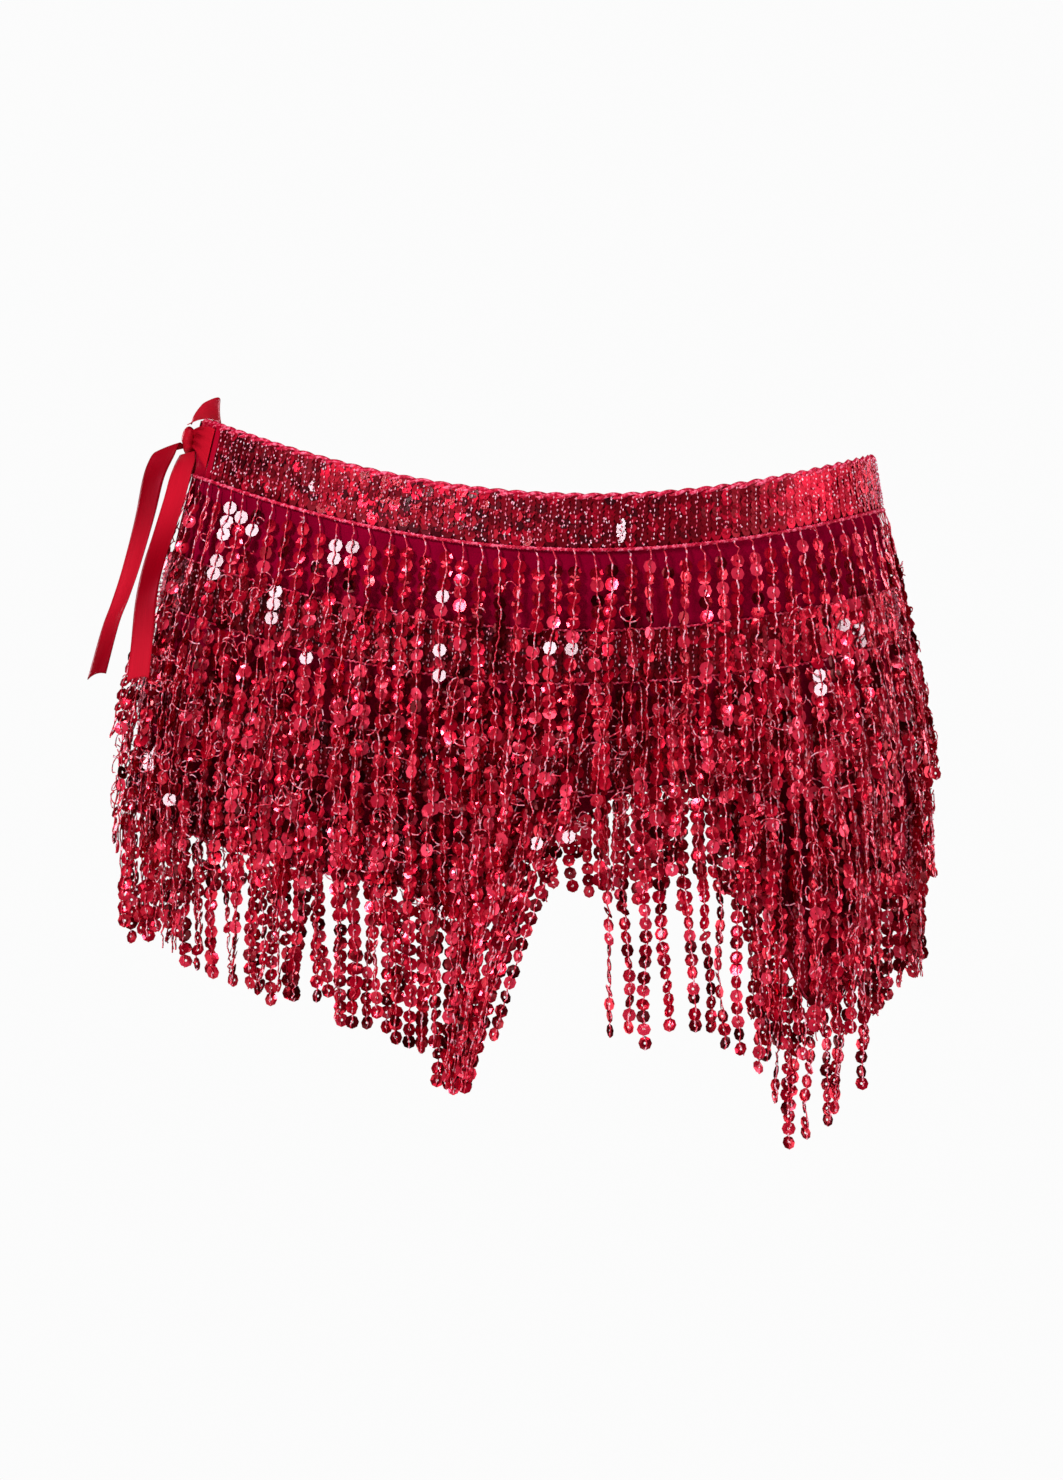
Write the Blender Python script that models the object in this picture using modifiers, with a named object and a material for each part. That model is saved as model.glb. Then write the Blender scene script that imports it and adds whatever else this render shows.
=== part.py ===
"""A belly dance hip belt: a worn wrap of stretch cloth with sequin bands and four tiers of fringe.

Metres, +Z up. The front faces -Y and the tied side is at -X. The origin is the middle of the
ring that the waistband makes round the hips, where the wearer holds the belt up.

The whole garment hangs on one smooth figure. A place on it is an angle round the figure, counted
in degrees from the front towards +X, and a drop, measured straight down from the waistband's
middle line. Every band, strip and strand is made from those places, moved outwards.
"""

import bmesh
import bpy
import numpy as np
from mathutils import Vector

# The general figure that the belt hangs on, at the waistband and where the hips are widest
WAIST_HALF_WIDTH = 0.1525
HIP_HALF_WIDTH = 0.177
WAIST_FRONT_DEPTH = 0.104
HIP_FRONT_DEPTH = 0.114
WAIST_BACK_DEPTH = 0.114
HIP_BACK_DEPTH = 0.132
HIP_DROP = 0.165
HIP_SHIFT = -0.006

# How far, in radians, the hanging lines turn towards the front and back as the figure widens
FALL_TURN = 0.065

# The waistband sags at the front and back, and sits higher on the tied side
BAND_SAG = 0.0290
BAND_TILT = 0.054

# The wrap is open along the tied side, between these two angles
FRONT_EDGE = -88.0
BACK_EDGE = 260.0

# Cloth, bands and the seams between them
CLOTH_WALL = 0.0012
BAND_HEIGHT = 0.0244
BAND_WALL = 0.0014
BAND_GAP = 0.0004
SEAM = 0.0003
HEM_SEAM = 0.0007
WAISTBAND_TOP = -BAND_HEIGHT / 2
WAISTBAND_FOOT = BAND_HEIGHT / 2
SECOND_BAND_TOP = 0.0478
SECOND_BAND_FOOT = 0.0722
THIRD_BAND_TOP = 0.1003
THIRD_BAND_FOOT = 0.1247
HEM_BAND_REACH = 0.4

# Folds of the hanging cloth: how deep they get at the hem, and how many go round
FOLD_START = 0.045
FOLD_FULL = 0.175
FOLD_DEPTH = 0.0034
FOLDS_ROUND = (8, 13)
FOLD_SHARES = (0.6, 0.4)
FOLD_PHASES = (0.6, 2.1)

# The hanging cloth is drawn up above the notch and, more widely, over the seat
LIFT_START = 0.060
LIFT_FULL = 0.120
LIFTS = {
    "angle": (26.0, 180.0),
    "width": (15.0, 55.0),
    "height": (0.010, 0.012),
}

# Fringe
HEADER_HEIGHT = 0.004
STRAND_WALL = 0.002
STRAND_WIDTH = 0.005
STRAND_TIP_SHARE = 0.6
STRANDS_ROUND = 52
TIP_SCATTER = 0.004
SIDE_SCATTER = 0.0015
LEAN_POWER = 0.8

# Ribbon ties
RIBBON_WIDTH = 0.012
RIBBON_WALL = 0.001
RIBBON_STEPS = 4

HEM = {
    "angle": (-92, -53, -21, -16, -12, -8, -5, -1, 4, 9, 14, 22, 31, 33, 36, 40, 44, 48, 51, 55, 60, 65, 72,
              80, 88, 98, 108, 116, 124, 262),
    "drop": (0.1650, 0.1680, 0.1675, 0.1735, 0.1780, 0.1755, 0.1660, 0.1520, 0.1410, 0.1330, 0.1282, 0.1275,
             0.1275, 0.1370, 0.1580, 0.1770, 0.1980, 0.2210, 0.2285, 0.2255, 0.2095, 0.1915, 0.1800,
             0.1725, 0.1685, 0.1670, 0.1610, 0.1380, 0.1285, 0.1280),
}

# Each tier: where its header strip starts, the shares of a strand's length that have a ring of points,
# how far outside the cloth the strand's middle is there, and its tips and sideways lean by angle
FIRST_TIER = {
    "name": "fringe_first_tier",
    "seed": 11,
    "header": WAISTBAND_FOOT + SEAM,
    "header_offset": 0.0016,
    "ring_share": (0.0, 0.27, 0.62, 1.0),
    "ring_offset": (0.0016, 0.0040, 0.0072, 0.0115),
    "angle": (-92, 262),
    "tip": (0.132, 0.132),
    "lean": (0.0, 0.0),
}
SECOND_TIER = {
    "name": "fringe_second_tier",
    "seed": 12,
    "header": SECOND_BAND_FOOT + SEAM,
    "header_offset": 0.0016,
    "ring_share": (0.0, 0.22, 0.56, 1.0),
    "ring_offset": (0.0016, 0.0038, 0.0068, 0.0090),
    "angle": (-92, -6, 2, 9, 13, 18, 26, 34, 98, 135, 225, 250, 262),
    "tip": (0.186, 0.186, 0.162, 0.148, 0.165, 0.172, 0.175, 0.184, 0.185, 0.168, 0.168, 0.184, 0.186),
    "lean": (0.0, 0.0, -0.014, -0.020, -0.004, 0.0, 0.0, 0.002, 0.0, 0.0, 0.0, 0.0, 0.0),
}
THIRD_TIER = {
    "name": "fringe_third_tier",
    "seed": 13,
    "header": THIRD_BAND_FOOT + SEAM,
    "header_offset": 0.0016,
    "ring_share": (0.0, 0.20, 0.52, 1.0),
    "ring_offset": (0.0016, 0.0038, 0.0044, 0.0048),
    "angle": (-92, -50, -30, -20, -14, -10, -5, -1, 4, 9.5, 10.5, 20, 26, 33, 38, 44, 60, 80, 98, 135, 225,
              250, 262),
    "tip": (0.220, 0.224, 0.228, 0.233, 0.240, 0.2475, 0.254, 0.258, 0.250, 0.232, 0.236, 0.238, 0.242,
            0.246, 0.248, 0.244, 0.236, 0.224, 0.220, 0.186, 0.186, 0.218, 0.222),
    "lean": (0.0, 0.0, 0.0, 0.0, -0.004, -0.011, -0.021, -0.032, -0.043, -0.051, 0.0, 0.003, 0.010, 0.009,
             0.006, 0.0, 0.0, 0.0, 0.0, 0.0, 0.0, 0.0, 0.0),
}
HEM_TIER = {
    "seed": 14,
    "header_offset": 0.0016,
    "ring_share": (0.0, 0.45, 1.0),
    "ring_offset": (0.0016, 0.0008, 0.0004),
    "angle": (-92, -60, -35, -18, -9, -4, 36, 42, 46, 52, 58, 62, 70, 90, 262),
    "length": (0.056, 0.058, 0.064, 0.071, 0.086, 0.080, 0.066, 0.084, 0.074, 0.050, 0.062, 0.044, 0.051,
               0.058, 0.060),
    "lean": (0.0, 0.0, 0.0, 0.0, -0.004, -0.010, 0.002, 0.0, -0.002, 0.0, 0.0, 0.0, 0.0, 0.0, 0.0),
}
HEM_PIECES = {
    "left": {"start": FRONT_EDGE, "end": -4.0},
    "right": {"start": 35.0, "end": 107.0},
}

# Ribbons: centre points from the seam or the knot to the free end, and the way their width lies
RIBBONS = {
    "ribbon_back_loop": {
        "x": (-0.1512, -0.1480, -0.1472, -0.1504, -0.1535, -0.1572, -0.1602),
        "y": (0.0188, 0.0165, 0.0115, 0.0060, 0.0000, -0.0052, -0.0080),
        "z": (0.0290, 0.0375, 0.0408, 0.0397, 0.0387, 0.0362, 0.0331),
        "across_x": (0.00, 0.05, -0.10, -0.45, -0.45, -0.25, 0.10),
        "across_y": (0.05, 0.15, 0.20, 0.35, 0.75, 0.95, 0.98),
        "across_z": (1.00, 0.98, 0.97, 0.80, 0.45, 0.15, 0.05),
    },
    "ribbon_tail_outer": {
        "x": (-0.1666, -0.1699, -0.1724, -0.1762, -0.1801, -0.1861, -0.1911, -0.1957, -0.2019),
        "y": (-0.0060, -0.0098, -0.0140, -0.0158, -0.0170, -0.0180, -0.0185, -0.0190, -0.0195),
        "z": (0.0215, 0.0226, 0.0178, 0.0080, -0.0099, -0.0320, -0.0472, -0.0596, -0.0826),
        "across_x": (0.80, 0.88, 0.95, 0.85, 0.80, 0.74, 0.72, 0.70, 0.74),
        "across_y": (0.55, 0.30, -0.10, -0.47, -0.56, -0.64, -0.66, -0.68, -0.64),
        "across_z": (0.22, 0.36, 0.20, 0.12, 0.20, 0.20, 0.22, 0.22, 0.22),
    },
    "ribbon_tail_inner": {
        "x": (-0.1607, -0.1619, -0.1637, -0.1655, -0.1701, -0.1747, -0.1778, -0.1797, -0.1815),
        "y": (-0.0142, -0.0176, -0.0214, -0.0265, -0.0345, -0.0405, -0.0445, -0.0465, -0.0465),
        "z": (0.0198, 0.0150, 0.0088, 0.0005, -0.0164, -0.0319, -0.0478, -0.0683, -0.0843),
        "across_x": (0.60, 0.80, 0.86, 0.88, 0.90, 0.88, 0.86, 0.86, 0.86),
        "across_y": (-0.78, -0.56, -0.48, -0.44, -0.42, -0.46, -0.50, -0.50, -0.50),
        "across_z": (0.12, 0.18, 0.20, 0.22, 0.24, 0.24, 0.20, 0.16, 0.14),
    },
}
KNOT_PLACE = (-0.1602, -0.0090, 0.0255)
KNOT_HALF_SIZE = (0.0030, 0.0056, 0.0066)

# The front ribbon where it lies on the waistband, gathered towards the knot
STRETCH = {
    "angle": (-73.0, -76.0, -78.5, -81.0),
    "drop": (-0.0030, -0.0035, -0.0040, -0.0040),
    "half_height": (0.0078, 0.0066, 0.0056, 0.0050),
}
STRETCH_OFFSET = 0.0030


def flare(drop):
    """0 at the belt's top edge and 1 where the hips are widest, as a quarter sine between them."""
    return np.sin(np.pi / 2 * np.clip((drop - WAISTBAND_TOP) / (HIP_DROP - WAISTBAND_TOP), 0, 1))


def ramp(value, start, full):
    """0 up to start, 1 from full on, and a smooth curve between them."""
    share = np.clip((value - start) / (full - start), 0, 1)
    return share * share * (3 - 2 * share)


def at(angle, table, column):
    """A table's column at an angle, on a straight line between two rows."""
    return float(np.interp(angle, table["angle"], table[column]))


def place(angle, drop, offset):
    """The point at an angle and a drop, that far outside the cloth's outer face.

    The figure's section is an ellipse, deeper at the back, that grows with the drop. The folds and
    the offset move the point along the ellipse's own normal.
    """
    drop = np.asarray(drop, float)
    wide = flare(drop)
    turn = np.radians(angle) - FALL_TURN * wide * np.sin(2 * np.radians(angle))
    half_width = WAIST_HALF_WIDTH + (HIP_HALF_WIDTH - WAIST_HALF_WIDTH) * wide
    front = WAIST_FRONT_DEPTH + (HIP_FRONT_DEPTH - WAIST_FRONT_DEPTH) * wide
    back = WAIST_BACK_DEPTH + (HIP_BACK_DEPTH - WAIST_BACK_DEPTH) * wide
    depth = np.where(np.cos(turn) > 0, front, back)
    normal_x = np.sin(turn) / half_width
    normal_y = -np.cos(turn) / depth
    length = np.hypot(normal_x, normal_y)
    waves = sum(
        share * np.sin(count * turn + phase)
        for count, share, phase in zip(FOLDS_ROUND, FOLD_SHARES, FOLD_PHASES)
    )
    out = offset + FOLD_DEPTH * ramp(drop, FOLD_START, FOLD_FULL) * waves
    x = half_width * np.sin(turn) + HIP_SHIFT * wide + out * normal_x / length
    y = -depth * np.cos(turn) + out * normal_y / length
    sag = BAND_SAG * (0.5 - np.cos(turn) ** 2)
    tilt = -BAND_TILT * WAIST_HALF_WIDTH * np.sin(turn)
    drawn = sum(
        height * np.exp(-(((angle - centre) / width) ** 2))
        for centre, width, height in zip(LIFTS["angle"], LIFTS["width"], LIFTS["height"])
    )
    lift = drawn * ramp(drop, LIFT_START, LIFT_FULL)
    return np.stack(np.broadcast_arrays(x, y, sag + tilt + lift - drop), axis=-1)


def degrees_for(length, angle):
    """The angle, in degrees, that a length along the hips takes up at an angle."""
    turn = np.radians(angle)
    per_radian = np.hypot(HIP_HALF_WIDTH * np.cos(turn), HIP_FRONT_DEPTH * np.sin(turn))
    return np.degrees(length / per_radian)


def strand_edges(angle):
    """The angles of a strand's two edges at its root."""
    half = degrees_for(STRAND_WIDTH / 2, angle)
    return angle - half, angle + half


def even_angles(start, end, count):
    """Angles from start to end that lie the same length apart along the waistband."""
    fine = np.linspace(start, end, 2000)
    points = place(fine, 0.0, 0.0)[:, :2]
    along = np.concatenate([[0], np.cumsum(np.linalg.norm(np.diff(points, axis=0), axis=1))])
    return np.interp(np.linspace(0, along[-1], count), along, fine)


def material(name, colour, roughness, metallic):
    made = bpy.data.materials.new(name)
    made.use_nodes = True
    shader = made.node_tree.nodes["Principled BSDF"]
    shader.inputs["Base Color"].default_value = (*colour, 1)
    shader.inputs["Roughness"].default_value = roughness
    shader.inputs["Metallic"].default_value = metallic
    made.diffuse_color = (*colour, 1)
    return made


def surface_object(name, points, faces, finish):
    """A named object with this open surface."""
    mesh = bpy.data.meshes.new(name)
    mesh.from_pydata([tuple(p) for p in points], [], faces)
    mesh.materials.append(finish)
    mesh.shade_smooth()
    made = bpy.data.objects.new(name, mesh)
    BELT.objects.link(made)
    return made


def thicken(piece, wall, side):
    """Gives the open surface a wall: side 1 adds it outside, -1 inside and 0 on both sides."""
    shell = piece.modifiers.new("wall", "SOLIDIFY")
    shell.thickness = wall
    shell.offset = side
    return piece


def grid_faces(columns, rows):
    """Quads of a grid whose points are listed column by column, top row first, facing outwards."""
    return [
        (c * rows + r, c * rows + r + 1, (c + 1) * rows + r + 1, (c + 1) * rows + r)
        for c in range(columns - 1)
        for r in range(rows - 1)
    ]


def hem_band_top(angle):
    """The drop at which the hem band starts, a band's height above the hem where there is room."""
    hem = at(angle, HEM, "drop")
    room = THIRD_BAND_FOOT + HEM_BAND_REACH * (hem - THIRD_BAND_FOOT)
    return max(hem - BAND_HEIGHT, room)


def cloth_rows(angle):
    """The drops of the cloth's rows at an angle, with a row at each band's edges."""
    return np.array([
        WAISTBAND_TOP,
        WAISTBAND_FOOT,
        SECOND_BAND_TOP,
        SECOND_BAND_FOOT,
        THIRD_BAND_TOP,
        THIRD_BAND_FOOT,
        hem_band_top(angle),
        at(angle, HEM, "drop"),
    ])


def make_cloth(finish):
    """The skirt: one wall of stretch cloth, wrapped round from the front edge to the back edge."""
    columns = [place(a, cloth_rows(a), 0.0) for a in COLUMNS]
    faces = grid_faces(len(columns), len(columns[0]))
    return thicken(surface_object("skirt_cloth", np.concatenate(columns), faces, finish), CLOTH_WALL, -1)


def make_band(name, finish, start, end, edges):
    """A sequin band sewn on the cloth between two angles; edges gives its top and foot at an angle."""
    columns = [place(a, np.array(edges(a)), BAND_GAP) for a in COLUMNS if start <= a <= end]
    faces = grid_faces(len(columns), len(columns[0]))
    return thicken(surface_object(name, np.concatenate(columns), faces, finish), BAND_WALL, 1)


def level(top, foot):
    return lambda angle: (top, foot)


def hem_edges(angle):
    return hem_band_top(angle), at(angle, HEM, "drop")


def strand_points(tier, angle, header_foot, tip, lean, side):
    """The rings of one strand below its header: two points a ring, at the strand's two edges.

    A strand falls straight, apart from its lean, which grows with a power of the share fallen.
    """
    rings = []
    for share, offset in list(zip(tier["ring_share"], tier["ring_offset"]))[1:]:
        drop = header_foot + (tip - header_foot) * share
        middle = angle + degrees_for(lean * share**LEAN_POWER + side * share, angle)
        half = STRAND_WIDTH / 2 * (1 - (1 - STRAND_TIP_SHARE) * share)
        spread = degrees_for(half, angle)
        rings += [place(middle - spread, drop, offset), place(middle + spread, drop, offset)]
    return rings


def make_fringe(tier, name, angles, finish, header, tip):
    """One tier: a narrow header strip with its strands, cut as a comb and given a wall.

    header and tip give the drops of the strip's top and of a strand's end at an angle.
    """
    scatter = np.random.RandomState(tier["seed"])
    points, faces, before = [], [], None
    for angle in angles:
        first = len(points)
        for edge in strand_edges(angle):
            top = header(edge)
            points += [place(edge, drop, tier["header_offset"]) for drop in (top, top + HEADER_HEIGHT)]
        faces.append((first, first + 1, first + 3, first + 2))
        if before is not None:
            faces.append((before + 2, before + 3, first + 1, first))
        before = first
        lean = at(angle, tier, "lean")
        end = tip(angle) + scatter.uniform(-TIP_SCATTER, TIP_SCATTER)
        side = scatter.uniform(-SIDE_SCATTER, SIDE_SCATTER)
        left, right = first + 1, first + 3
        rings = strand_points(tier, angle, header(angle) + HEADER_HEIGHT, end, lean, side)
        for ring in range(0, len(rings), 2):
            points += rings[ring:ring + 2]
            next_left, next_right = len(points) - 2, len(points) - 1
            faces.append((left, next_left, next_right, right))
            left, right = next_left, next_right
    return thicken(surface_object(name, points, faces, finish), STRAND_WALL, 0)


def make_level_fringe(tier, finish):
    """A tier below a level band, all the way round."""
    return make_fringe(
        tier, tier["name"], STRAND_ANGLES, finish,
        lambda angle: tier["header"],
        lambda angle: at(angle, tier, "tip"),
    )


def make_hem_fringe(side, finish):
    """The short fringe under one stretch of the hem, in line with the tiers above it."""
    stretch = HEM_PIECES[side]
    angles = [a for a in STRAND_ANGLES if stretch["start"] < a < stretch["end"]]
    return make_fringe(
        HEM_TIER, "fringe_hem_" + side, angles, finish,
        lambda angle: at(angle, HEM, "drop") + HEM_SEAM,
        lambda angle: at(angle, HEM, "drop") + at(angle, HEM_TIER, "length"),
    )


def curve_through(values, steps):
    """The values with steps more between each two, on a Catmull-Rom curve."""
    v = np.asarray(values, float)
    padded = np.concatenate([[2 * v[0] - v[1]], v, [2 * v[-1] - v[-2]]])
    out = []
    for i in range(len(v) - 1):
        a, b, c, d = padded[i:i + 4]
        for t in np.arange(steps) / steps:
            out.append(0.5 * (2 * b + (c - a) * t + (2 * a - 5 * b + 4 * c - d) * t**2
                              + (3 * b - a - 3 * c + d) * t**3))
    return np.array(out + [v[-1]])


def make_ribbon(name, table, finish, width=RIBBON_WIDTH):
    """A flat satin ribbon that follows the table's points, as wide as it is cut."""
    columns = {key: curve_through(values, RIBBON_STEPS) for key, values in table.items()}
    points = []
    for i in range(len(columns["x"])):
        centre = Vector([columns[key][i] for key in ("x", "y", "z")])
        across = Vector([columns["across_" + key][i] for key in "xyz"]).normalized()
        points += [centre - across * width / 2, centre + across * width / 2]
    faces = [(i, i + 2, i + 3, i + 1) for i in range(0, len(points) - 2, 2)]
    return thicken(surface_object(name, points, faces, finish), RIBBON_WALL, 0)


def make_front_stretch(finish):
    """The front ribbon's short stretch, laid on the waistband from its seam to the knot."""
    columns = []
    for angle, drop, half in zip(STRETCH["angle"], STRETCH["drop"], STRETCH["half_height"]):
        columns.append(place(angle, drop + np.array([-half, 0.0, half]), STRETCH_OFFSET))
    faces = grid_faces(len(columns), len(columns[0]))
    made = surface_object("ribbon_front_stretch", np.concatenate(columns), faces, finish)
    return thicken(made, RIBBON_WALL, 0)


def make_knot(finish):
    """The flat knot where the two ribbons are tied, a rounded lump."""
    shape = bmesh.new()
    bmesh.ops.create_uvsphere(shape, u_segments=14, v_segments=8, radius=1.0)
    bmesh.ops.scale(shape, vec=KNOT_HALF_SIZE, verts=shape.verts)
    bmesh.ops.translate(shape, vec=KNOT_PLACE, verts=shape.verts)
    mesh = bpy.data.meshes.new("ribbon_knot")
    shape.to_mesh(mesh)
    shape.free()
    mesh.materials.append(finish)
    mesh.shade_smooth()
    made = bpy.data.objects.new("ribbon_knot", mesh)
    BELT.objects.link(made)


def clear_scene():
    for thing in list(bpy.data.objects):
        bpy.data.objects.remove(thing, do_unlink=True)


clear_scene()
BELT = bpy.data.collections.new("Belly dance hip belt")
bpy.context.scene.collection.children.link(BELT)
EDGE_MARGIN = degrees_for(STRAND_WIDTH, FRONT_EDGE)
STRAND_ANGLES = even_angles(FRONT_EDGE + EDGE_MARGIN, BACK_EDGE - EDGE_MARGIN, STRANDS_ROUND)
COLUMNS = [FRONT_EDGE, *(edge for angle in STRAND_ANGLES for edge in strand_edges(angle)), BACK_EDGE]

cloth_red = material("wine stretch cloth", (0.20, 0.003, 0.022), 0.75, 0.0)
sequin_red = material("red sequins", (0.62, 0.006, 0.030), 0.25, 0.7)
satin_red = material("red satin ribbon", (0.56, 0.006, 0.022), 0.38, 0.0)

make_cloth(cloth_red)
make_band("waistband", sequin_red, FRONT_EDGE, BACK_EDGE, level(WAISTBAND_TOP, WAISTBAND_FOOT))
make_band("second_band", sequin_red, FRONT_EDGE, BACK_EDGE, level(SECOND_BAND_TOP, SECOND_BAND_FOOT))
make_band("third_band", sequin_red, FRONT_EDGE, BACK_EDGE, level(THIRD_BAND_TOP, THIRD_BAND_FOOT))
for side, stretch in HEM_PIECES.items():
    make_band("hem_band_" + side, sequin_red, stretch["start"], stretch["end"], hem_edges)
    make_hem_fringe(side, sequin_red)
for tier in (FIRST_TIER, SECOND_TIER, THIRD_TIER):
    make_level_fringe(tier, sequin_red)
for name, table in RIBBONS.items():
    make_ribbon(name, table, satin_red)
make_front_stretch(satin_red)
make_knot(satin_red)
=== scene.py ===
"""A red belly dance hip belt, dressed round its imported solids.

Metres, +Z up. The front faces -Y and the tied side is at -X. A place on the belt is an angle round the
hips, in degrees from the front towards +X, and a drop, straight down from the waistband's middle line.
"""

import bpy
import numpy as np
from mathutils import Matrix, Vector


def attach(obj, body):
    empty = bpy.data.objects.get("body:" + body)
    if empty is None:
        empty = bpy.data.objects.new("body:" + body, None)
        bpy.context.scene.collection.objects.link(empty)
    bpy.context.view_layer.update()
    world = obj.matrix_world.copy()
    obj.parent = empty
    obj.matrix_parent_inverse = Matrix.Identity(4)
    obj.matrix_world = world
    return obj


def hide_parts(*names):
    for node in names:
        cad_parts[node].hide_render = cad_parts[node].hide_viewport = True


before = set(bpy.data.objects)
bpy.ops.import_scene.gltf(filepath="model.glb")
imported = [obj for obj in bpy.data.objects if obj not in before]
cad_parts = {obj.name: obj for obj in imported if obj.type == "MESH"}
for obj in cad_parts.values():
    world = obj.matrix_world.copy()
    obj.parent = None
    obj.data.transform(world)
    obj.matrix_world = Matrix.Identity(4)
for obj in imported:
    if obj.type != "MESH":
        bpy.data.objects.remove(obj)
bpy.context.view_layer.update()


# Skirt cloth
# One piece of wine-red stretch knit, wrapped round the hips from the tied side and back to it. It is
# cut with a notch in the front hem and a long point beside it, and everything else is sewn on it.

WAIST_HALF_WIDTH = 0.1525
HIP_HALF_WIDTH = 0.177
WAIST_FRONT_DEPTH = 0.104
HIP_FRONT_DEPTH = 0.114
WAIST_BACK_DEPTH = 0.114
HIP_BACK_DEPTH = 0.132
HIP_DROP = 0.165
HIP_SHIFT = -0.006
FALL_TURN = 0.065
BAND_SAG = 0.0290
BAND_TILT = 0.054
FRONT_EDGE = -88.0
BACK_EDGE = 260.0
BAND_HEIGHT = 0.0244
WAISTBAND_TOP = -BAND_HEIGHT / 2
WAISTBAND_FOOT = BAND_HEIGHT / 2
THIRD_BAND_FOOT = 0.1247
HEM_BAND_REACH = 0.4
CLOTH_WALL = 0.0009
CLOTH_OFFSET = -0.0001
CLOTH_COLUMNS = 300
CLOTH_ROWS = 34
FOLD_START = 0.045
FOLD_FULL = 0.175
FOLD_DEPTH = 0.0034
FOLDS = {"round": (8, 13), "share": (0.6, 0.4), "phase": (0.6, 2.1)}
LIFT_START = 0.060
LIFT_FULL = 0.120
LIFTS = {"angle": (26.0, 180.0), "width": (15.0, 55.0), "height": (0.010, 0.012)}
HEM = {
    "angle": (-92, -53, -21, -16, -12, -8, -5, -1, 4, 9, 14, 22, 31, 33, 36, 40, 44, 48, 51, 55, 60, 65, 72,
              80, 88, 98, 108, 116, 124, 262),
    "drop": (0.1650, 0.1680, 0.1675, 0.1735, 0.1780, 0.1755, 0.1660, 0.1520, 0.1410, 0.1330, 0.1282, 0.1275,
             0.1275, 0.1370, 0.1580, 0.1770, 0.1980, 0.2210, 0.2285, 0.2255, 0.2095, 0.1915, 0.1800,
             0.1725, 0.1685, 0.1670, 0.1610, 0.1380, 0.1285, 0.1280),
}
CREASE_FADE = (0.018, 0.030)
CREASES = {
    "angle": (-80, -71, -58, -41, -27, -13, 3, 19, 37, 52, 66, 79, 97, 121, 138, 163, 184, 201, 222, 241,
              252),
    "top": (0.012, 0.016, 0.050, 0.014, 0.080, 0.020, 0.015, 0.045, 0.018, 0.060, 0.014, 0.030, 0.050, 0.015,
            0.070, 0.020, 0.040, 0.015, 0.055, 0.016, 0.012),
    "foot": (0.105, 0.070, 0.150, 0.064, 0.160, 0.110, 0.060, 0.115, 0.105, 0.200, 0.066, 0.150, 0.160, 0.080,
             0.125, 0.095, 0.125, 0.072, 0.125, 0.085, 0.110),
    "slant": (90, 60, 20, -40, 15, 50, -25, 10, -60, 25, 40, -20, 30, -35, 15, 45, -10, 35, -30, -55, -80),
    "width": (2.2, 1.6, 2.8, 1.9, 3.2, 2.1, 1.7, 2.6, 2.2, 3.0, 1.8, 2.7, 3.1, 2.0, 2.9, 2.2, 3.3, 1.9, 2.6,
              2.0, 2.3),
    "depth": (-0.0013, 0.0010, -0.0008, -0.0009, 0.0010, -0.0007, -0.0010, 0.0009, -0.0011, 0.0013, -0.0009,
              0.0008, -0.0012, 0.0010, -0.0009, 0.0011, -0.0008, -0.0010, 0.0009, 0.0011, -0.0013),
}
# Painted shade: the knit's colour is a share of its full one below the lower height, where the fringe shades
# it, and full above the upper one
PAINTED_SHADE_LOW_HEIGHT = -0.11
PAINTED_SHADE_HIGH_HEIGHT = -0.04
PAINTED_SHADE_SHARE = 0.52


def flare(drop):
    """A quarter sine, 0 at the belt's top edge and 1 where the hips are widest."""
    return np.sin(np.pi / 2 * np.clip((drop - WAISTBAND_TOP) / (HIP_DROP - WAISTBAND_TOP), 0, 1))


def ramp(value, start, full):
    """The smooth step 3s^2 - 2s^3, 0 up to start and 1 from full on."""
    share = np.clip((value - start) / (full - start), 0, 1)
    return share * share * (3 - 2 * share)


def at(angle, table, column):
    """A table's column at angles, on straight lines between its rows."""
    return np.interp(angle, table["angle"], table[column])


def creases(angle, drop):
    """The sum of long low bells: each is a Gauss curve across its slanted line, faded at both its ends."""
    angle, drop = np.broadcast_arrays(np.asarray(angle, float), np.asarray(drop, float))
    out = np.zeros(angle.shape)
    for line, top, foot, slant, width, depth in zip(*CREASES.values()):
        across = (angle - line - slant * (drop - top)) / width
        ends = ramp(drop, top, top + CREASE_FADE[0]) * (1 - ramp(drop, foot - CREASE_FADE[1], foot))
        out += depth * ends * np.exp(-across**2)
    return out


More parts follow.
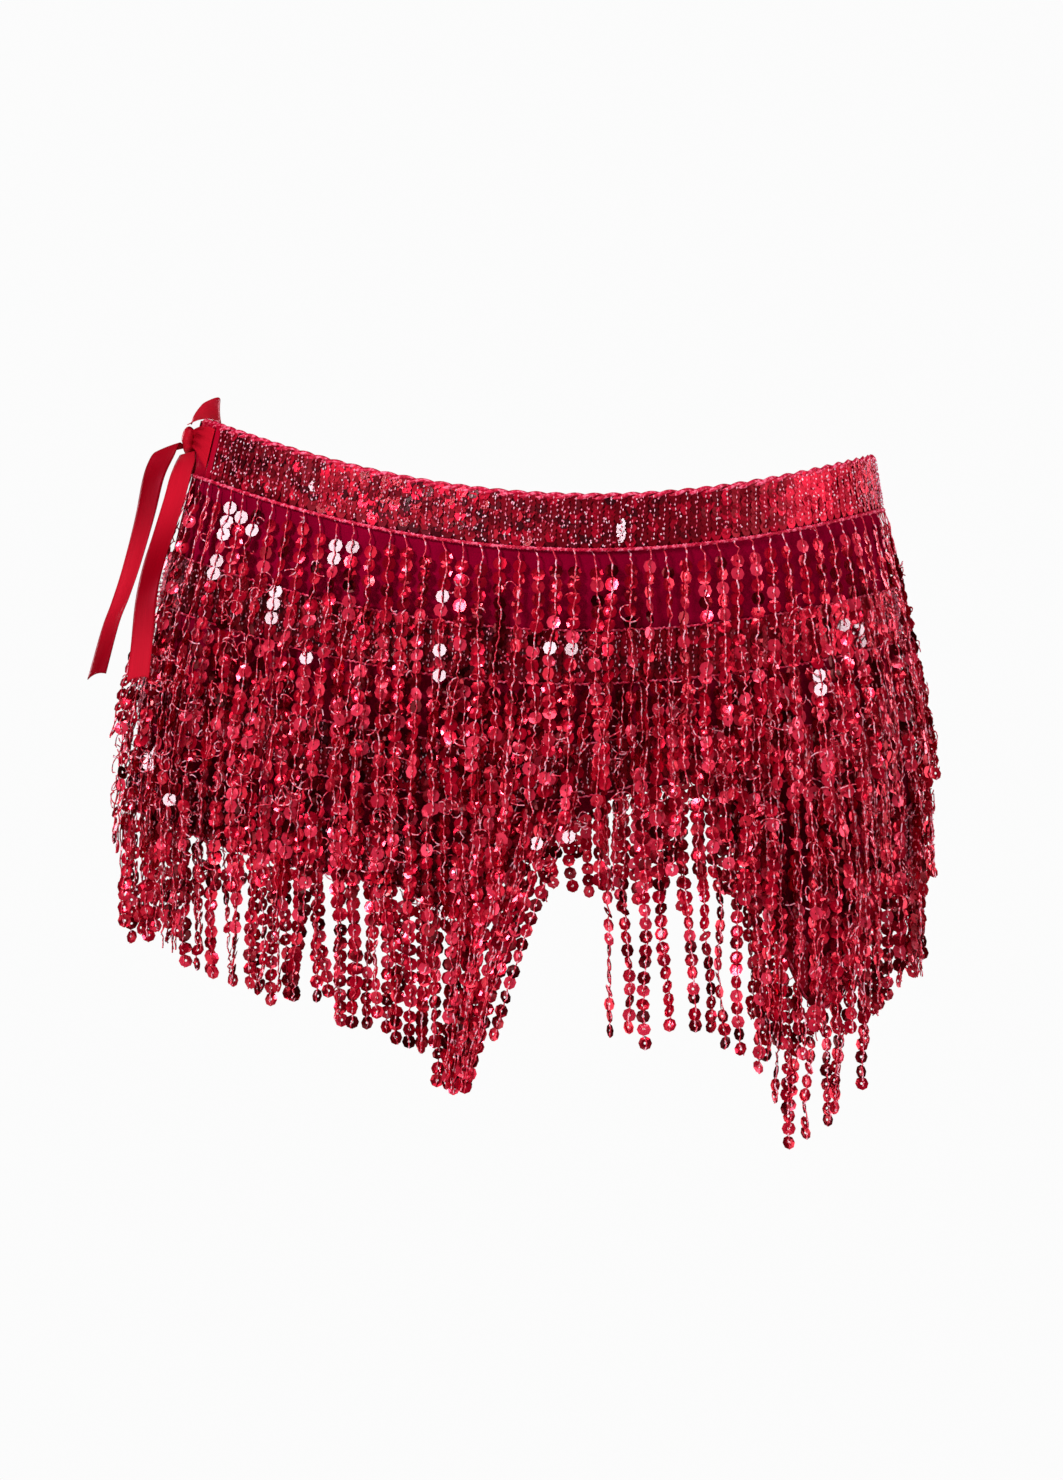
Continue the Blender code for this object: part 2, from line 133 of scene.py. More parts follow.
def on_cloth(angle, drop, offset):
    """Points at angles and drops, an offset outside the cloth, as an array with x, y and z last.

    The section is an ellipse, deeper at the back, that widens by flare(drop). Waves of the angle, the
    creases and the offset move a point along the ellipse's normal. The height is a cosine square sag
    plus a side tilt plus the lifts, less the drop.
    """
    angle = np.asarray(angle, float)
    drop = np.asarray(drop, float)
    wide = flare(drop)
    turn = np.radians(angle) - FALL_TURN * wide * np.sin(2 * np.radians(angle))
    half_width = WAIST_HALF_WIDTH + (HIP_HALF_WIDTH - WAIST_HALF_WIDTH) * wide
    front = WAIST_FRONT_DEPTH + (HIP_FRONT_DEPTH - WAIST_FRONT_DEPTH) * wide
    back = WAIST_BACK_DEPTH + (HIP_BACK_DEPTH - WAIST_BACK_DEPTH) * wide
    depth = np.where(np.cos(turn) > 0, front, back)
    normal_x = np.sin(turn) / half_width
    normal_y = -np.cos(turn) / depth
    length = np.hypot(normal_x, normal_y)
    waves = sum(share * np.sin(count * turn + phase) for count, share, phase in zip(*FOLDS.values()))
    out = offset + FOLD_DEPTH * ramp(drop, FOLD_START, FOLD_FULL) * waves + creases(angle, drop)
    x = half_width * np.sin(turn) + HIP_SHIFT * wide + out * normal_x / length
    y = -depth * np.cos(turn) + out * normal_y / length
    bells = zip(*LIFTS.values())
    drawn = sum(height * np.exp(-((angle - centre) / width) ** 2) for centre, width, height in bells)
    z = BAND_SAG * (0.5 - np.cos(turn) ** 2) - BAND_TILT * WAIST_HALF_WIDTH * np.sin(turn)
    z = z + drawn * ramp(drop, LIFT_START, LIFT_FULL) - drop
    return np.stack(np.broadcast_arrays(x, y, z), axis=-1)


def grid_quads(columns, rows, closed=False):
    """Corner numbers of a grid's quads; point (c, r) has the number c * rows + r."""
    c = np.arange(columns if closed else columns - 1)[:, None]
    r = np.arange(rows - 1)[None, :]
    after = (c + 1) % columns
    corners = np.stack([c * rows + r, c * rows + r + 1, after * rows + r + 1, after * rows + r], axis=-1)
    return corners.reshape(-1, 4)


def mesh_piece(name, points, faces, finishes, smooth=True, slots=None, tone=None):
    """A named object with these points and faces, at the origin; slots and tone hold one value a face."""
    mesh = bpy.data.meshes.new(name)
    points = np.asarray(points, np.float32).reshape(-1, 3)
    faces = np.asarray(faces, np.int32)
    sides = faces.shape[1]
    mesh.vertices.add(len(points))
    mesh.vertices.foreach_set("co", points.ravel())
    mesh.loops.add(faces.size)
    mesh.loops.foreach_set("vertex_index", faces.ravel())
    mesh.polygons.add(len(faces))
    mesh.polygons.foreach_set("loop_start", np.arange(0, faces.size, sides, dtype=np.int32))
    mesh.polygons.foreach_set("use_smooth", np.full(len(faces), smooth, bool))
    for finish in finishes:
        mesh.materials.append(finish)
    if slots is not None:
        mesh.polygons.foreach_set("material_index", np.asarray(slots, np.int32))
    if tone is not None:
        mesh.attributes.new("tone", "FLOAT", "FACE").data.foreach_set("value", np.asarray(tone, np.float32))
    mesh.update()
    mesh.validate()
    made = bpy.data.objects.new(name, mesh)
    bpy.context.scene.collection.objects.link(made)
    return made


def wall(piece, thickness, side):
    """Gives an open surface its thickness: side 1 adds it outside, -1 inside and 0 on both sides."""
    shell = piece.modifiers.new("wall", "SOLIDIFY")
    shell.thickness = thickness
    shell.offset = side


def sewn_on(piece, slot, *nodes):
    """The piece, which moves with the belt, stands for those solids and hides them. Its slot is not used."""
    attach(piece, "root")
    if nodes:
        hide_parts(*nodes)
    return piece


def feed(tree, node, inputs):
    """Sets a node's inputs by name or number, and links those that are given as another node's output."""
    for key, value in inputs.items():
        if isinstance(value, bpy.types.NodeSocket):
            tree.links.new(value, node.inputs[key])
        else:
            node.inputs[key].default_value = value


def add_node(tree, kind, inputs=None, **settings):
    """A new shader node with its own settings and its inputs."""
    node = tree.nodes.new("ShaderNode" + kind)
    for key, value in settings.items():
        setattr(node, key, value)
    feed(tree, node, inputs or {})
    return node


def mapped(tree, value, low, high, to_low=0.0, to_high=1.0):
    """A value stretched so that low becomes to_low and high becomes to_high, and held between them."""
    ends = {"Value": value, "From Min": low, "From Max": high, "To Min": to_low, "To Max": to_high}
    return add_node(tree, "MapRange", ends).outputs["Result"]


def mixed(tree, share, first, second, blend="MIX"):
    """The first colour where the share is 0, going over to the second, or blended with it, where it is 1."""
    ends = {"Factor": share, "A": first, "B": second}
    return add_node(tree, "Mix", ends, data_type="RGBA", blend_type=blend).outputs["Result"]


def relief(tree, height, strength, depth):
    """The normal that a height gives."""
    inputs = {"Height": height, "Strength": strength, "Distance": depth}
    return add_node(tree, "Bump", inputs).outputs["Normal"]


def node_group(name, inputs, outputs):
    """A shader node group. Its inputs and its outputs are each a row of colours and a row of numbers."""
    group = bpy.data.node_groups.new(name, "ShaderNodeTree")
    for way, rows in (("INPUT", inputs), ("OUTPUT", outputs)):
        for kind, labels in zip(("NodeSocketColor", "NodeSocketFloat"), rows):
            for label in labels:
                group.interface.new_socket(name=label, in_out=way, socket_type=kind)
    return group, group.nodes.new("NodeGroupInput"), group.nodes.new("NodeGroupOutput")


def knit_group():
    """Fine stretch knit: rows of small loops as a height, with soft blotches in the colour."""
    inputs = (["Colour", "Shade"], ["Loop"])
    group, given, out = node_group("fine knit", inputs, (["Colour"], ["Height"]))
    place = add_node(group, "TexCoord").outputs["Object"]
    per_metre = add_node(group, "Math", {0: 1.0, 1: given.outputs["Loop"]}, operation="DIVIDE")
    loops = add_node(group, "TexVoronoi", {"Vector": place, "Scale": per_metre.outputs[0]})
    blotch = add_node(group, "TexNoise", {"Vector": place, "Scale": 55.0, "Detail": 3.0})
    colour = mixed(group, blotch.outputs["Fac"], given.outputs["Colour"], given.outputs["Shade"])
    feed(group, out, {"Colour": colour, "Height": loops.outputs["Distance"]})
    return group


def shader(name):
    """A new material, its node tree and its Principled BSDF."""
    made = bpy.data.materials.new(name)
    made.use_nodes = True
    return made, made.node_tree, made.node_tree.nodes["Principled BSDF"]


def group_node(tree, group, **inputs):
    """The group placed in a material, with its inputs set."""
    return add_node(tree, "Group", inputs, node_tree=group)


KNIT = knit_group()


def wine_cloth():
    """Wine-red stretch knit, in full colour near the waist and darkened towards the hem by painted shade."""
    made, tree, principled = shader("wine stretch knit")
    knit = group_node(tree, KNIT, Colour=(0.34, 0.001, 0.030, 1), Shade=(0.15, 0.0, 0.011, 1), Loop=0.0008)
    place = add_node(tree, "TexCoord").outputs["Object"]
    height = add_node(tree, "SeparateXYZ", {"Vector": place}).outputs["Z"]
    # Painted shade: the colour is scaled down lower on the cloth, where the fringe hangs over it
    lit_share = mapped(tree, height, PAINTED_SHADE_LOW_HEIGHT, PAINTED_SHADE_HIGH_HEIGHT, PAINTED_SHADE_SHARE)
    shaded = {"Vector": knit.outputs["Colour"], "Scale": lit_share}
    painted_shade = add_node(tree, "VectorMath", shaded, operation="SCALE")
    feed(tree, principled, {
        "Base Color": painted_shade.outputs["Vector"], "Roughness": 0.62, "Specular IOR Level": 0.0,
        "Normal": relief(tree, knit.outputs["Height"], 0.35, 0.0004),
    })
    return made


def hem_band_top(angle):
    """A band's height above the hem, or lower where the third band leaves less room."""
    hem = at(angle, HEM, "drop")
    return np.maximum(hem - BAND_HEIGHT, THIRD_BAND_FOOT + HEM_BAND_REACH * (hem - THIRD_BAND_FOOT))


def cloth_strip(angles, top, foot, rows, offset):
    """The points of a strip of cloth between two drops, column by column, top row first."""
    share = np.linspace(0, 1, rows)[None, :]
    drop = np.asarray(top)[..., None] * (1 - share) + np.asarray(foot)[..., None] * share
    return on_cloth(angles[:, None], drop, offset)


cloth_angles = np.linspace(FRONT_EDGE, BACK_EDGE, CLOTH_COLUMNS)
cloth_top = np.full(CLOTH_COLUMNS, WAISTBAND_TOP)
cloth_foot = at(cloth_angles, HEM, "drop")
skirt = mesh_piece(
    "skirt_wrap",
    cloth_strip(cloth_angles, cloth_top, cloth_foot, CLOTH_ROWS, CLOTH_OFFSET),
    grid_quads(CLOTH_COLUMNS, CLOTH_ROWS),
    [wine_cloth()],
)
wall(skirt, CLOTH_WALL, -1)
sewn_on(skirt, "stretch_cloth", "skirt_cloth")


# Sequin bands
# Stretch tape sewn flat on the cloth at the waist, twice below it and along the two stretches of the
# hem. Each is 24 mm tall and covered with upright rows of small overlapping sequins, one thread a row.

TAPE_OFFSET = 0.0004
TAPE_WALL = 0.0005
TAPE_ROWS = 5
TAPE_COLUMNS_A_ROW = 3
ARC_SAMPLES = 3000
PROBE = 0.001
BAND_SPACING_DROP = 0.06
BAND_ROW_STEP = 0.0051
BAND_ROW_SEQUINS = 10
BAND_MARGIN = (0.0022, 0.0016)
BAND_SEQUIN_STEP = 0.0021
BAND_SEQUIN_SIDES = 6
BAND_SEQUIN_RINGS = ((0.0027, 0.0), (0.0005, 0.0))
BAND_SEQUIN_LEAN = 2.0
BAND_SEQUIN_OFFSET = 0.0015
BAND_STITCH_OFFSET = 0.0024
BAND_STITCH_RISE = 0.0008
BAND_STITCH_HALF = (0.00030, 0.00085, 0.00030)
BAND_LOOP_OFFSET = 0.0025
BAND_LOOP_HALF = (0.00050, 0.00062, 0.00046)
BAND_LOOP_MARGIN = (0.0016, 0.0014)
BAND_LOOPS = 12
# How far sequins, stitches and loops stray, in degrees, and in radians for the thread's turns and leans
BAND_STRAY = {"angle": 0.05, "yaw": 6, "lean": 4.5, "stitch": 0.12, "stitch_lean": 0.25, "loop": 1.2,
              "loop_yaw": 1.0, "loop_lean": 0.6}
GATHER_END = -68.5
GATHER_BLEND = (67.5, 71.5)
GATHER_PLEAT = 0.0010
GATHER_BEAT = 2.1
GATHER_WAVER = 1.2
GATHER_BARE = 0.3
SECOND_BAND_FOOT = 0.0722
WHOLE_BELT = {"start": FRONT_EDGE, "end": BACK_EDGE}
LEFT_HEM = {"start": FRONT_EDGE, "end": -4.0}
RIGHT_HEM = {"start": 35.0, "end": 107.0}
BANDS = {
    "waistband": {**WHOLE_BELT, "top": WAISTBAND_TOP, "foot": WAISTBAND_FOOT, "seed": 21},
    "second_band": {**WHOLE_BELT, "top": 0.0478, "foot": SECOND_BAND_FOOT, "seed": 22},
    "third_band": {**WHOLE_BELT, "top": 0.1003, "foot": THIRD_BAND_FOOT, "seed": 23},
    "hem_band_left": {**LEFT_HEM, "top": None, "foot": None, "seed": 24},
    "hem_band_right": {**RIGHT_HEM, "top": None, "foot": None, "seed": 25},
}


def length_along(points):
    """How far along a line each of its points lies."""
    return np.concatenate([[0], np.cumsum(np.linalg.norm(np.diff(points, axis=0), axis=1))])


def even_angles(start, end, step, drop):
    """Angles from start to end that lie about a step apart along the cloth at a drop."""
    fine = np.linspace(start, end, ARC_SAMPLES)
    along = length_along(on_cloth(fine, drop, 0.0)[:, :2])
    count = int(round(along[-1] / step)) + 1
    return np.interp(np.linspace(0, along[-1], count), along, fine)


def unit(vectors):
    """The vectors at length one."""
    return vectors / np.linalg.norm(vectors, axis=-1, keepdims=True)


def cloth_frame(angle, drop, offset):
    """Centre, down the cloth, outwards and sideways at places, from small steps of drop and offset."""
    centre = on_cloth(angle, drop, offset)
    down = unit(on_cloth(angle, drop + PROBE, offset) - centre)
    out = on_cloth(angle, drop, offset + PROBE) - centre
    out = unit(out - down * np.sum(out * down, axis=-1, keepdims=True))
    return centre, down, out, np.cross(down, out)


def turned(frame_axes, yaw, lean):
    """Each disc's own axes: turned by yaw about the strand's line, then leant about its own side axis."""
    down, out, side = frame_axes
    yaw, lean = yaw[..., None], lean[..., None]
    facing = np.cos(yaw) * out + np.sin(yaw) * side
    across = np.cos(yaw) * side - np.sin(yaw) * out
    return across, np.cos(lean) * down + np.sin(lean) * facing, np.cos(lean) * facing - np.sin(lean) * down


def spread(shape, faces, centre, axes):
    """Copies of a small shape at many places, on their own axes: points and faces."""
    points = centre[:, None] + sum(shape[None, :, i, None] * axes[i][:, None] for i in range(3))
    numbers = faces[None] + (np.arange(len(centre)) * len(shape))[:, None, None]
    return points.reshape(-1, 3), numbers.reshape(-1, faces.shape[1])


def joined(first, second):
    """The points and faces of two meshes as those of one."""
    return np.concatenate([first[0], second[0]]), np.concatenate([first[1], second[1] + len(first[0])])


def sequin_shape(rings, sides):
    """A sequin facing +Z: circles of (radius, height) from its rim to its hole, with quads between them."""
    turn = np.arange(sides) * 2 * np.pi / sides
    points = [np.stack([radius * np.cos(turn), radius * np.sin(turn), height + 0 * turn], axis=-1)
              for radius, height in rings]
    i = np.arange(sides)
    after = (i + 1) % sides
    faces = [np.stack([i, after, after + sides, i + sides], axis=-1) + ring * sides
             for ring in range(len(rings) - 1)]
    return np.concatenate(points), np.concatenate(faces)


def spindle():
    """A small eight-sided bead that stands for one stitch: six points, one unit out on every axis."""
    points = np.array([(1, 0, 0), (0, 1, 0), (-1, 0, 0), (0, -1, 0), (0, 0, 1), (0, 0, -1)], float)
    faces = [(0, 1, 4), (1, 2, 4), (2, 3, 4), (3, 0, 4), (1, 0, 5), (2, 1, 5), (3, 2, 5), (0, 3, 5)]
    return points, np.array(faces)


def stitch_beads(half_size, place, yaw, lean):
    """A bead at each place, of that half size: points and faces."""
    bead, faces = spindle()
    return spread(bead * half_size, faces, place[0], turned(place[1:], yaw, lean))


def tubes(lines, radius, sides):
    """Round threads along many lines of equal length, each ring square to its line: points and faces.

    A ring is radius times cosine and sine of the way round, on two axes square to the tangent.
    """
    lines = np.asarray(lines, float)
    tangent = unit(np.gradient(lines, axis=1))
    helper = np.where(np.abs(tangent[..., 2:]) < 0.85, [[[0.0, 0.0, 1.0]]], [[[0.0, 1.0, 0.0]]])
    first = unit(np.cross(tangent, helper))
    second = np.cross(tangent, first)
    turn = np.arange(sides) * 2 * np.pi / sides
    rings = np.cos(turn)[:, None] * first[..., None, :] + np.sin(turn)[:, None] * second[..., None, :]
    points = lines[..., None, :] + radius * rings
    count, length = lines.shape[:2]
    ring = np.arange(length - 1)[:, None] * sides
    here = ring + np.arange(sides)
    after = ring + (np.arange(sides) + 1) % sides
    one = np.stack([here, here + sides, after + sides, after], axis=-1).reshape(-1, 4)
    faces = one[None] + (np.arange(count) * length * sides)[:, None, None]
    return points.reshape(-1, 3), faces.reshape(-1, 4)


def sequin_tone_group():
    """Turns a sequin's own number, 0 to 1, into its colour: most are crimson, some deeper and a few paler, as
    painted reflection: the deep ones stand for sequins that mirror the dark room, the pale ones for those
    that catch a light.
    """
    outputs = (["Colour"], ["Roughness", "Tone"])
    group, given, out = node_group("sequin tone and painted reflection", (["Deep", "Main", "Pale"], []), outputs)
    tone = add_node(group, "Attribute", attribute_name="tone").outputs["Fac"]
    crimson = mixed(group, mapped(group, tone, 0.0, 0.5), given.outputs["Deep"], given.outputs["Main"])
    colour = mixed(group, mapped(group, tone, 0.76, 1.0), crimson, given.outputs["Pale"])
    feed(group, out, {"Colour": colour, "Roughness": mapped(group, tone, 0.0, 1.0, 0.30, 0.14), "Tone": tone})
    return group


SEQUIN_TONE = sequin_tone_group()


def sequin_plastic(name, deep, main, pale, mirror, dull, coat):
    """Dyed clear plastic over a mirror layer, which may count for more on the deep ones than on the pale."""
    made, tree, principled = shader(name)
    # The tone is partly painted reflection: deep sequins stand for ones that mirror the dark room, pale ones
    # for ones that catch a light
    dye_and_painted_light = group_node(tree, SEQUIN_TONE, Deep=(*deep, 1), Main=(*main, 1), Pale=(*pale, 1))
    rough = add_node(tree, "Math", {0: dye_and_painted_light.outputs["Roughness"], 1: dull})
    feed(tree, principled, {
        "Base Color": dye_and_painted_light.outputs["Colour"], "Roughness": rough.outputs["Value"], "Metallic": mirror[0],
        "Specular Tint": (1.0, 0.35, 0.5, 1), "Coat Weight": coat, "Coat Roughness": 0.08,
    })
    if mirror[0] != mirror[1]:
        feed(tree, principled, {"Metallic": mapped(tree, dye_and_painted_light.outputs["Tone"], 0.0, 1.0, *mirror)})
    return made


def thread_group():
    """Twisted thread: short pale dashes along a rose thread, by a noise of the object's place; the pale
    dashes are painted highlights where the twist catches the light.
    """
    inputs = (["Rose", "Pale", "Deep"], ["Dash"])
    group, given, out = node_group("twisted thread", inputs, (["Colour"], []))
    place = add_node(group, "TexCoord").outputs["Object"]
    noise = add_node(group, "TexNoise", {"Vector": place, "Scale": given.outputs["Dash"], "Detail": 1.0})
    dash = mapped(group, noise.outputs["Fac"], 0.36, 0.62)
    rose = mixed(group, mapped(group, dash, 0.0, 0.45), given.outputs["Deep"], given.outputs["Rose"])
    # The pale dashes are painted highlights
    feed(group, out, {"Colour": mixed(group, mapped(group, dash, 0.6, 1.0), rose, given.outputs["Pale"])})
    return group


THREAD = thread_group()


def thread_finish(name, lustre, dash, rose, pale, deep):
    """Shiny polyester thread in two reds with painted pale highlights, more or less metallic."""
    made, tree, principled = shader(name)
    thread = group_node(tree, THREAD, Rose=(*rose, 1), Pale=(*pale, 1), Deep=(*deep, 1), Dash=dash)
    feed(tree, principled, {
        "Base Color": thread.outputs["Colour"], "Roughness": 0.4, "Metallic": lustre,
        "Specular Tint": (1.0, 0.5, 0.62, 1),
    })
    return made


def tape_finish(name, roughness, colour, shade, raised):
    """Red stretch tape in a fine knit: raised and painted darker under the sequins as painted shade, in its
    full colour where it is gathered.
    """
    made, tree, principled = shader(name)
    knit = group_node(tree, KNIT, Colour=(*colour, 1), Shade=(*shade, 1), Loop=0.0007)
    feed(tree, principled, {
        "Base Color": knit.outputs["Colour"], "Roughness": roughness, "Specular IOR Level": 0.05,
    })
    if raised:
        feed(tree, principled, {"Normal": relief(tree, knit.outputs["Height"], 0.4, 0.0004)})
    return made


def flash_finish():
    """A sequin that lies just so: its gloss mirrors the main light as an even pale pink."""
    made, tree, principled = shader("flash sequin")
    feed(tree, principled, {
        "Base Color": (0.12, 0.0, 0.006, 1), "Roughness": 0.12, "Specular IOR Level": 0.23,
        "Specular Tint": (1.0, 0.83, 0.90, 1),
    })
    return made


# Painted shade: under the sequins the tape is painted far darker than at its gathered end
tape_in_painted_shade = tape_finish("tape under sequins in painted shade", 0.6, (0.16, 0.001, 0.008), (0.05, 0.0, 0.003), True)
gathered_tape = tape_finish("gathered tape end", 0.5, (0.50, 0.001, 0.025), (0.26, 0.0, 0.010), False)
flash_sequin = flash_finish()
band_sequin = sequin_plastic("band sequin", (0.03, 0.0, 0.001), (0.22, 0.0, 0.006), (0.66, 0.004, 0.030),
                             (0.6, 0.6), 0.26, 0.03)
# The band thread's pale pinks are partly the thread's colour and partly painted glints
band_thread_and_glints = thread_finish("band stitch with painted glints", 0.0, 480.0, (1.0, 0.24, 0.38), (1.0, 0.70, 0.82),
                            (0.75, 0.03, 0.09))


def band_edges(band, angles):
    """The drops of a band's top and foot at angles; a hem band follows the hem."""
    if band["top"] is None:
        return hem_band_top(angles), at(angles, HEM, "drop")
    return np.full(len(angles), band["top"]), np.full(len(angles), band["foot"])


# By angle, the share of the loops of thread between the rows that show, as pale beads that are painted
# glints, and how far the sequins are painted pale, a painted highlight where they mirror a light
BAND_SPARKLE = {
    "angle": (-88, -68, -60, 12, 22, 44, 50, 64, 72, 262),
    "share": (0.2, 0.3, 0.9, 0.9, 0.25, 0.15, 0.35, 0.35, 0.7, 0.6),
    "painted_gleam": (0.0, 0.0, 0.0, 0.0, 0.1, 0.6, 0.9, 0.9, 0.7, 0.0),
}
# A few sequins lie just so that they mirror the main light, as pale flashes in ones to fours
KEY_PLACE = np.array([-1.55, -2.3, 1.2])
EYE_PLACE = np.array([-0.0032, -3.0, -0.11155])
FLASHES = {
    "piece": ("waistband",) * 2 + ("fringe_first_tier",) * 13 + ("fringe_second_tier",) * 3
             + ("fringe_third_tier", "fringe_second_tier"),
    "angle": (13.5, -39.2, -57.8, -53.0, -58.2, -45.5, -32.8, -14.0, -16.5, -14.0, -16.0, 4.7, 59.2, 50.5,
              -35.8, -73.2, -63.0, 5.0, -13.0, 150.0),
    "drop": (0.0030, 0.0000, 0.0230, 0.0235, 0.0455, 0.0555, 0.0225, 0.0375, 0.0605, 0.0595, 0.0720, 0.0560,
             0.0610, 0.0845, 0.0725, 0.1420, 0.1530, 0.1450, 0.1730, 0.1100),
    "amount": (4, 1, 4, 1, 2, 3, 3, 1, 1, 1, 1, 2, 3, 2, 1, 2, 1, 2, 1, 2),
}
FLASH_WANDER = 0.035
FLASH_BEAT = 9000
BAND_FLASH_OFFSET = 0.002


def flash(name, centre, axes, tone, offset):
    """Turns the sequins nearest each flash so that their mirror direction joins the eye and the key light.

    Each then wanders from it by a quick sine of its place. They are marked 1 and the others 0.
    """
    flashing = np.zeros(len(tone), int)
    for piece, angle, drop, amount in zip(*FLASHES.values()):
        if piece != name:
            continue
        near = np.argsort(np.linalg.norm(centre - on_cloth(angle, drop, offset), axis=1))[:amount]
        facing = unit(unit(EYE_PLACE - centre[near]) + unit(KEY_PLACE - centre[near]))
        facing = unit(facing + FLASH_WANDER * np.sin(centre[near] * FLASH_BEAT))
        along = unit(axes[1][near] - facing * np.sum(axes[1][near] * facing, axis=1, keepdims=True))
        axes[0][near], axes[1][near], axes[2][near] = np.cross(along, facing), along, facing
        tone[near] = 1.0
        flashing[near] = 1
    return flashing


def sequin_piece(name, shape, centre, axes, plastic, flashing, tone):
    """All the sequins of a band or a tier as one piece, each with its own tone."""
    points, numbers = spread(*shape, centre, axes)
    sides = len(shape[1])
    return mesh_piece(name + "_sequins", points, numbers, [plastic, flash_sequin], False,
                      np.repeat(flashing, sides), np.repeat(tone, sides))


def band_tape(name, band, columns):
    """The tape. Its gathered end is pleated by a sine of the angle whose beat wavers with another sine."""
    rows = np.linspace(0, 1, len(columns))
    angles = np.interp(np.linspace(0, 1, TAPE_COLUMNS_A_ROW * len(columns)), rows, columns)
    top, foot = band_edges(band, angles)
    gather = ramp(-angles, *GATHER_BLEND) * (name == "waistband")
    pleat = GATHER_PLEAT * (1 + np.sin(angles * GATHER_BEAT + GATHER_WAVER * np.sin(angles))) * gather
    points = cloth_strip(angles, top, foot, TAPE_ROWS, TAPE_OFFSET + pleat[:, None])
    bare = np.repeat(gather[1:] > GATHER_BARE, TAPE_ROWS - 1)
    tape = mesh_piece(name + "_tape", points, grid_quads(len(angles), TAPE_ROWS), [tape_in_painted_shade, gathered_tape],
                      slots=bare)
    wall(tape, TAPE_WALL, 1)
    return sewn_on(tape, "sequin_band", name)


def make_band(name, band):
    """The tape, its upright rows of sequins, a stitch through each sequin and loose loops of thread. The
    stitches are thread with painted pale glints; the loops' pale beads are painted glints.
    """
    dice = np.random.RandomState(band["seed"])
    columns = even_angles(band["start"], band["end"], BAND_ROW_STEP, BAND_SPACING_DROP)
    tape = band_tape(name, band, columns)

    rows = (columns[1:] + columns[:-1]) / 2
    if name == "waistband":
        rows = rows[rows > GATHER_END]
    top, foot = band_edges(band, rows)
    drop = top[:, None] + BAND_MARGIN[0] + np.arange(BAND_ROW_SEQUINS)[None, :] * BAND_SEQUIN_STEP
    keep = drop < foot[:, None] - BAND_MARGIN[1]
    drop = drop[keep]
    count = len(drop)
    angle = np.broadcast_to(rows[:, None], keep.shape)[keep] + dice.normal(0, BAND_STRAY["angle"], count)
    centre, *axes = cloth_frame(angle, drop, BAND_SEQUIN_OFFSET)
    yaw = np.radians(dice.normal(0, BAND_STRAY["yaw"], count))
    lean = np.radians(BAND_SEQUIN_LEAN + dice.normal(0, BAND_STRAY["lean"], count))
    axes = list(turned(axes, yaw, lean))
    # Painted highlight: by angle, sequins are painted pale where they stand for ones that mirror a light
    tone = 1 - dice.uniform(0, 1, count) * (1 - at(angle, BAND_SPARKLE, "painted_gleam"))
    flashing = flash(name, centre, axes, tone, BAND_FLASH_OFFSET)
    shape = sequin_shape(BAND_SEQUIN_RINGS, BAND_SEQUIN_SIDES)
    sequins = sequin_piece(name, shape, centre, axes, band_sequin, flashing, tone)
    sewn_on(sequins, "sequin_band")

    beside = angle + dice.normal(0, BAND_STRAY["stitch"], count)
    place = cloth_frame(beside, drop - BAND_STITCH_RISE, BAND_STITCH_OFFSET)
    stitched = stitch_beads(BAND_STITCH_HALF, place, np.zeros(count),
                            dice.normal(0, BAND_STRAY["stitch_lean"], count))
    # Painted glints: loose pale beads scattered between the rows
    here = np.repeat(rows, dice.binomial(BAND_LOOPS, at(rows, BAND_SPARKLE, "share")))
    height = np.interp(here, rows, foot - top) - sum(BAND_LOOP_MARGIN)
    loose = np.interp(here, rows, top) + BAND_LOOP_MARGIN[0] + dice.uniform(0, 1, len(here)) * height
    draws = [(-BAND_STRAY[key], BAND_STRAY[key], len(here)) for key in ("loop", "loop_yaw", "loop_lean")]
    place = cloth_frame(here + dice.uniform(*draws[0]), loose, BAND_LOOP_OFFSET)
    loops = stitch_beads(BAND_LOOP_HALF, place, dice.uniform(*draws[1]), dice.uniform(*draws[2]))
    stitches = mesh_piece(name + "_stitches", *joined(stitched, loops), [band_thread_and_glints])
    return [tape, sequins, sewn_on(stitches, "stitch_thread")]


band_pieces = [piece for name, band in BANDS.items() for piece in make_band(name, band)]


# Overlocked edges
# Every band is edged with a rolled seam of rose thread. The one along the top of the belt is a full
# cord of two plies, the others are single rows of the same stitch.

EDGE_STEP = 0.0011
EDGE_SIDES = 4
TOP_EDGE = {"name": "top_edge", "drop": WAISTBAND_TOP + 0.0007, "offset": 0.0006, "plies": 2,
            "radius": 0.0011, "swing": 0.00085, "pitch": 0.0170}
LOWER_EDGES = {
    "name": ("waistband_foot_edge", "second_band_top_edge", "second_band_foot_edge", "third_band_top_edge",
             "third_band_foot_edge"),
    "drop": (WAISTBAND_FOOT - 0.0001, 0.0480, 0.0720, 0.1005, 0.1245),
    "offset": (0.0021, 0.0018, 0.0019, 0.0018, 0.0019),
    "plies": (2, 1, 1, 1, 1),
    "radius": (0.00060, 0.00050, 0.00050, 0.00050, 0.00045),
    "swing": (0.00050, 0.00035, 0.00035, 0.00035, 0.00030),
    "pitch": (0.0030, 0.0026, 0.0026, 0.0026, 0.0026),
}
HEM_EDGE = {"offset": 0.0018, "plies": 1, "radius": 0.0005, "swing": 0.00035, "pitch": 0.0026}
HEM_EDGE_RISE = 0.0002
HEM_SPACING_DROP = 0.1
edge_thread = thread_finish("overlock thread", 0.05, 560.0, (0.72, 0.006, 0.055), (1.0, 0.16, 0.28),
                            (0.42, 0.001, 0.022))


